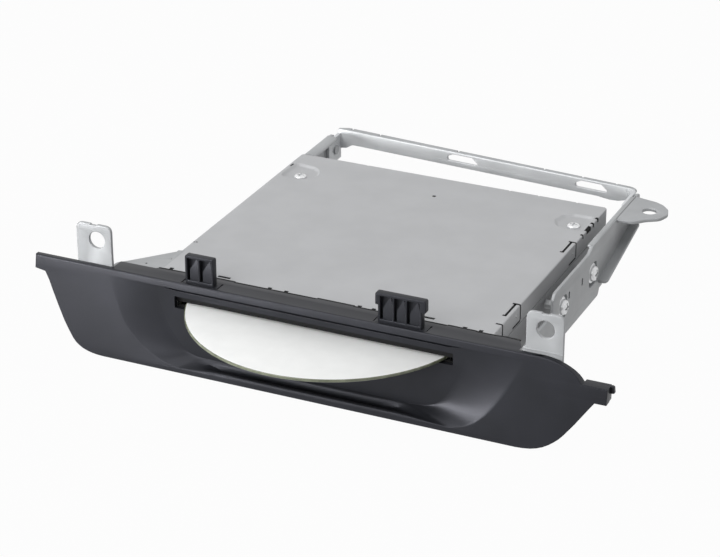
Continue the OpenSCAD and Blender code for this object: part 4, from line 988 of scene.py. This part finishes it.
CAMERA_AZIMUTH = 24.56
CAMERA_ELEVATION = 25.58
CAMERA_DISTANCE = 925.26
CAMERA_TARGET = (21.57, 0.0, 29.51)
CAMERA_LENS = 119.51
SENSOR_WIDTH = 36.0
# How much of the floor's picture is background; the rest keeps the object's shadow
FLOOR_WHITENESS = 0.97
# The floor's size in metres, and its gap under the object in millimetres
FLOOR_SIZE, FLOOR_GAP = 8.0, 0.2
LAMP_AIM = (0.0, 0.0, 0.02)


def build_camera():
    """The camera at the photograph's viewing angle."""
    azimuth, elevation = math.radians(CAMERA_AZIMUTH), math.radians(CAMERA_ELEVATION)
    back = Vector((math.sin(azimuth) * math.cos(elevation), -math.cos(azimuth) * math.cos(elevation),
                   math.sin(elevation)))
    right = Vector((math.cos(azimuth), math.sin(azimuth), 0.0))
    turn = Matrix((right, back.cross(right), back)).transposed().to_4x4()
    data = bpy.data.cameras.new("studio_camera")
    data.sensor_width = SENSOR_WIDTH
    data.sensor_fit = "HORIZONTAL"
    data.lens = CAMERA_LENS
    camera = place_object("studio_camera", data)
    camera.matrix_world = Matrix.Translation(at(*CAMERA_TARGET) + back * CAMERA_DISTANCE * MM) @ turn
    bpy.context.scene.camera = camera


def larger(tree, first, second):
    """The larger of two values."""
    return add(tree, "ShaderNodeMath", {0: first, 1: second}, operation="MAXIMUM").outputs["Value"]


def background_share(tree):
    """1 for what the camera sees directly or in a mirror or lens, 0 for light on the object."""
    path = add(tree, "ShaderNodeLightPath")
    mirrored = larger(tree, path.outputs["Is Glossy Ray"], path.outputs["Is Transmission Ray"])
    return larger(tree, path.outputs["Is Camera Ray"], mirrored)


def build_world(stage):
    """White to the camera, and a plain even light for the object."""
    world = bpy.data.worlds.new("studio_world")
    world.use_nodes = True
    tree = world.node_tree
    tree.nodes.clear()
    # The dome is brighter overhead than at the horizon
    direction = add(tree, "ShaderNodeTexCoord")
    height = add(tree, "ShaderNodeSeparateXYZ", {0: direction.outputs["Generated"]})
    dome = add(tree, "ShaderNodeMapRange", {"Value": height.outputs["Z"], "From Min": 0.1, "From Max": 0.42,
                                            "To Min": stage.horizon_strength, "To Max": stage.fill_strength})
    lit = add(tree, "ShaderNodeBackground", {"Color": (1, 1, 1, 1), "Strength": dome.outputs["Result"]})
    seen = add(tree, "ShaderNodeBackground", {"Color": (1, 1, 1, 1), "Strength": 1.0})
    mixed = add(tree, "ShaderNodeMixShader", {0: background_share(tree), 1: lit.outputs[0],
                                              2: seen.outputs[0]})
    add(tree, "ShaderNodeOutputWorld", {"Surface": mixed.outputs[0]})
    bpy.context.scene.world = world


def build_floor():
    """A plain white floor that keeps the object's shadow and fades into the background."""
    material, tree, out = new_material("studio_floor_paper")
    # Matt paper: no gloss, an even tone with a very faint fibre
    fibre = object_noise(tree, 2.0)
    tone = mixed_colour(tree, fibre.outputs["Fac"], "#7C7C7C", "#808080")
    paper = add(tree, "ShaderNodeBsdfDiffuse", {"Color": tone})
    white = add(tree, "ShaderNodeEmission", {"Color": (1, 1, 1, 1), "Strength": 1.0})
    share = add(tree, "ShaderNodeMath", {0: background_share(tree), 1: FLOOR_WHITENESS}, operation="MULTIPLY")
    mixed = add(tree, "ShaderNodeMixShader", {0: share.outputs["Value"], 1: paper.outputs[0],
                                              2: white.outputs[0]})
    tree.links.new(mixed.outputs[0], out.inputs["Surface"])
    half = FLOOR_SIZE / 2
    mesh = bpy.data.meshes.new("studio_floor")
    mesh.from_pydata([(x, y, 0) for x, y in rectangle(-half, -half, half, half)], [], [(0, 1, 2, 3)])
    mesh.materials.append(material)
    floor = place_object("studio_floor", mesh)
    floor.location.z = FLOOR_GAP * -MM


def add_lamp(name, place, size, power, aim=LAMP_AIM):
    """A soft rectangular lamp, placed and aimed in metres."""
    data = bpy.data.lights.new(name, "AREA")
    data.shape = "RECTANGLE"
    data.size, data.size_y = size
    data.energy = power
    lamp = place_object(name, data)
    lamp.location = place
    lamp.rotation_euler = (Vector(aim) - Vector(place)).to_track_quat("-Z", "Y").to_euler()


# Settings, operators and panel

def tone(name, description, default):
    """A colour setting."""
    return FloatVectorProperty(name=name, description=description, subtype="COLOR", size=4,
                               default=linear(default), min=0.0, max=1.0)


def strength(name, description, default):
    """A setting for the strength of the even light."""
    return FloatProperty(name=name, description=description, default=default, min=0.0, max=2.0)


def power(name, description, default):
    """A setting for a lamp's power."""
    return FloatProperty(name=name, description=description, default=default, min=0.0, max=200.0,
                         unit="POWER")


class ChangerColours(bpy.types.PropertyGroup):
    """Colours of the visible finishes."""

    panel_low: tone("Panel Dark Tone", "Darker tone of the front panel's plastic", "#1D1E21")
    panel_high: tone("Panel Light Tone", "Lighter tone of the front panel's plastic", "#222327")


class ChangerStage(bpy.types.PropertyGroup):
    """Strength of the studio's lights."""

    fill_strength: strength("Fill Light", "Strength of the even light from overhead", 0.5)
    horizon_strength: strength("Horizon Light", "Strength of the even light from the sides", 0.18)
    key_power: power("Key Lamp", "Power of the large lamp high in front on the left", 9.0)
    front_power: power("Front Lamp", "Power of the wide lamp in front", 6.0)
    right_power: power("Right Lamp", "Power of the weak lamp on the right", 2.0)
    side_power: power("Side Lamp", "Power of the small low lamp in front on the left", 4.2)


MATERIALS = {}


def shared_materials():
    """The finishes, made once and then found again by the operators."""
    if not MATERIALS:
        MATERIALS.update(make_materials(bpy.context.scene.changer_colours))
    return MATERIALS


class CHANGER_OT_stage(bpy.types.Operator):
    """Builds the camera, the floor, the lamps and the background"""

    bl_idname = "changer.stage"
    bl_label = "Build Stage"

    def execute(self, context):
        stage = context.scene.changer_stage
        build_camera()
        build_world(stage)
        build_floor()
        add_lamp("key_lamp", (-0.62, -0.7, 1.3), (0.8, 0.8), stage.key_power)
        add_lamp("right_lamp", (1.25, 0.35, 1.0), (0.7, 0.7), stage.right_power)
        add_lamp("front_lamp", (-0.3, -1.35, 0.8), (1.0, 0.6), stage.front_power)
        add_lamp("side_lamp", (-0.5, -0.58, 0.09), (0.3, 0.14), stage.side_power, aim=(-0.1, -0.03, 0.02))
        context.scene.view_settings.view_transform = "Standard"
        return {"FINISHED"}


class BuildStep:
    """A step that runs its builders, each with the shared finishes."""

    builders = ()

    def execute(self, context):
        for build in self.builders:
            build(shared_materials())
        return {"FINISHED"}


class CHANGER_OT_panel(BuildStep, bpy.types.Operator):
    """Builds the moulded front panel with its recess, slot, flange and clips"""

    bl_idname = "changer.panel"
    bl_label = "Build Front Panel"
    builders = (build_panel,)


class CHANGER_OT_disc(BuildStep, bpy.types.Operator):
    """Builds the disc in the slot"""

    bl_idname = "changer.disc"
    bl_label = "Build Disc"
    builders = (build_disc,)


class CHANGER_OT_housing(BuildStep, bpy.types.Operator):
    """Builds the pressed cover with its pockets, tabs and screws"""

    bl_idname = "changer.housing"
    bl_label = "Build Housing"
    builders = (build_cover, build_cover_screws)


class CHANGER_OT_brackets(BuildStep, bpy.types.Operator):
    """Builds the side brackets with their ears, the flanged screws and the rear cross bar"""

    bl_idname = "changer.brackets"
    bl_label = "Build Brackets"
    builders = (build_left_bracket, build_left_arm, build_right_bracket, build_studs, build_cross_bar)


class CHANGER_OT_finishes(BuildStep, bpy.types.Operator):
    """Gives the mechanism's CAD pieces their finishes"""

    bl_idname = "changer.finishes"
    bl_label = "Finish Mechanism"
    builders = (dress_cad_pieces,)


SETTINGS = {
    "changer_colours": ("panel_low", "panel_high"),
    "changer_stage": ("fill_strength", "horizon_strength", "key_power", "front_power", "right_power",
                      "side_power"),
}


class CHANGER_PT_sidebar(bpy.types.Panel):
    """Lists the changer's settings and steps"""

    bl_label = "Disc Changer"
    bl_idname = "CHANGER_PT_sidebar"
    bl_space_type = "VIEW_3D"
    bl_region_type = "UI"
    bl_category = "Changer"

    def draw(self, context):
        layout = self.layout
        for group, names in SETTINGS.items():
            for name in names:
                layout.prop(getattr(context.scene, group), name)
        for step in STEPS:
            layout.operator(step.bl_idname)


STEPS = (CHANGER_OT_stage, CHANGER_OT_panel, CHANGER_OT_disc, CHANGER_OT_housing, CHANGER_OT_brackets,
         CHANGER_OT_finishes)
CLASSES = (ChangerColours, ChangerStage) + STEPS + (CHANGER_PT_sidebar,)


def register():
    for cls in CLASSES:
        bpy.utils.register_class(cls)
    bpy.types.Scene.changer_colours = PointerProperty(type=ChangerColours)
    bpy.types.Scene.changer_stage = PointerProperty(type=ChangerStage)


def unregister():
    del bpy.types.Scene.changer_stage
    del bpy.types.Scene.changer_colours
    for cls in reversed(CLASSES):
        bpy.utils.unregister_class(cls)


def main():
    """Builds the whole scene."""
    register()
    bpy.ops.changer.stage()
    bpy.ops.changer.panel()
    bpy.ops.changer.disc()
    bpy.ops.changer.housing()
    bpy.ops.changer.brackets()
    bpy.ops.changer.finishes()


if __name__ == "__main__":
    main()
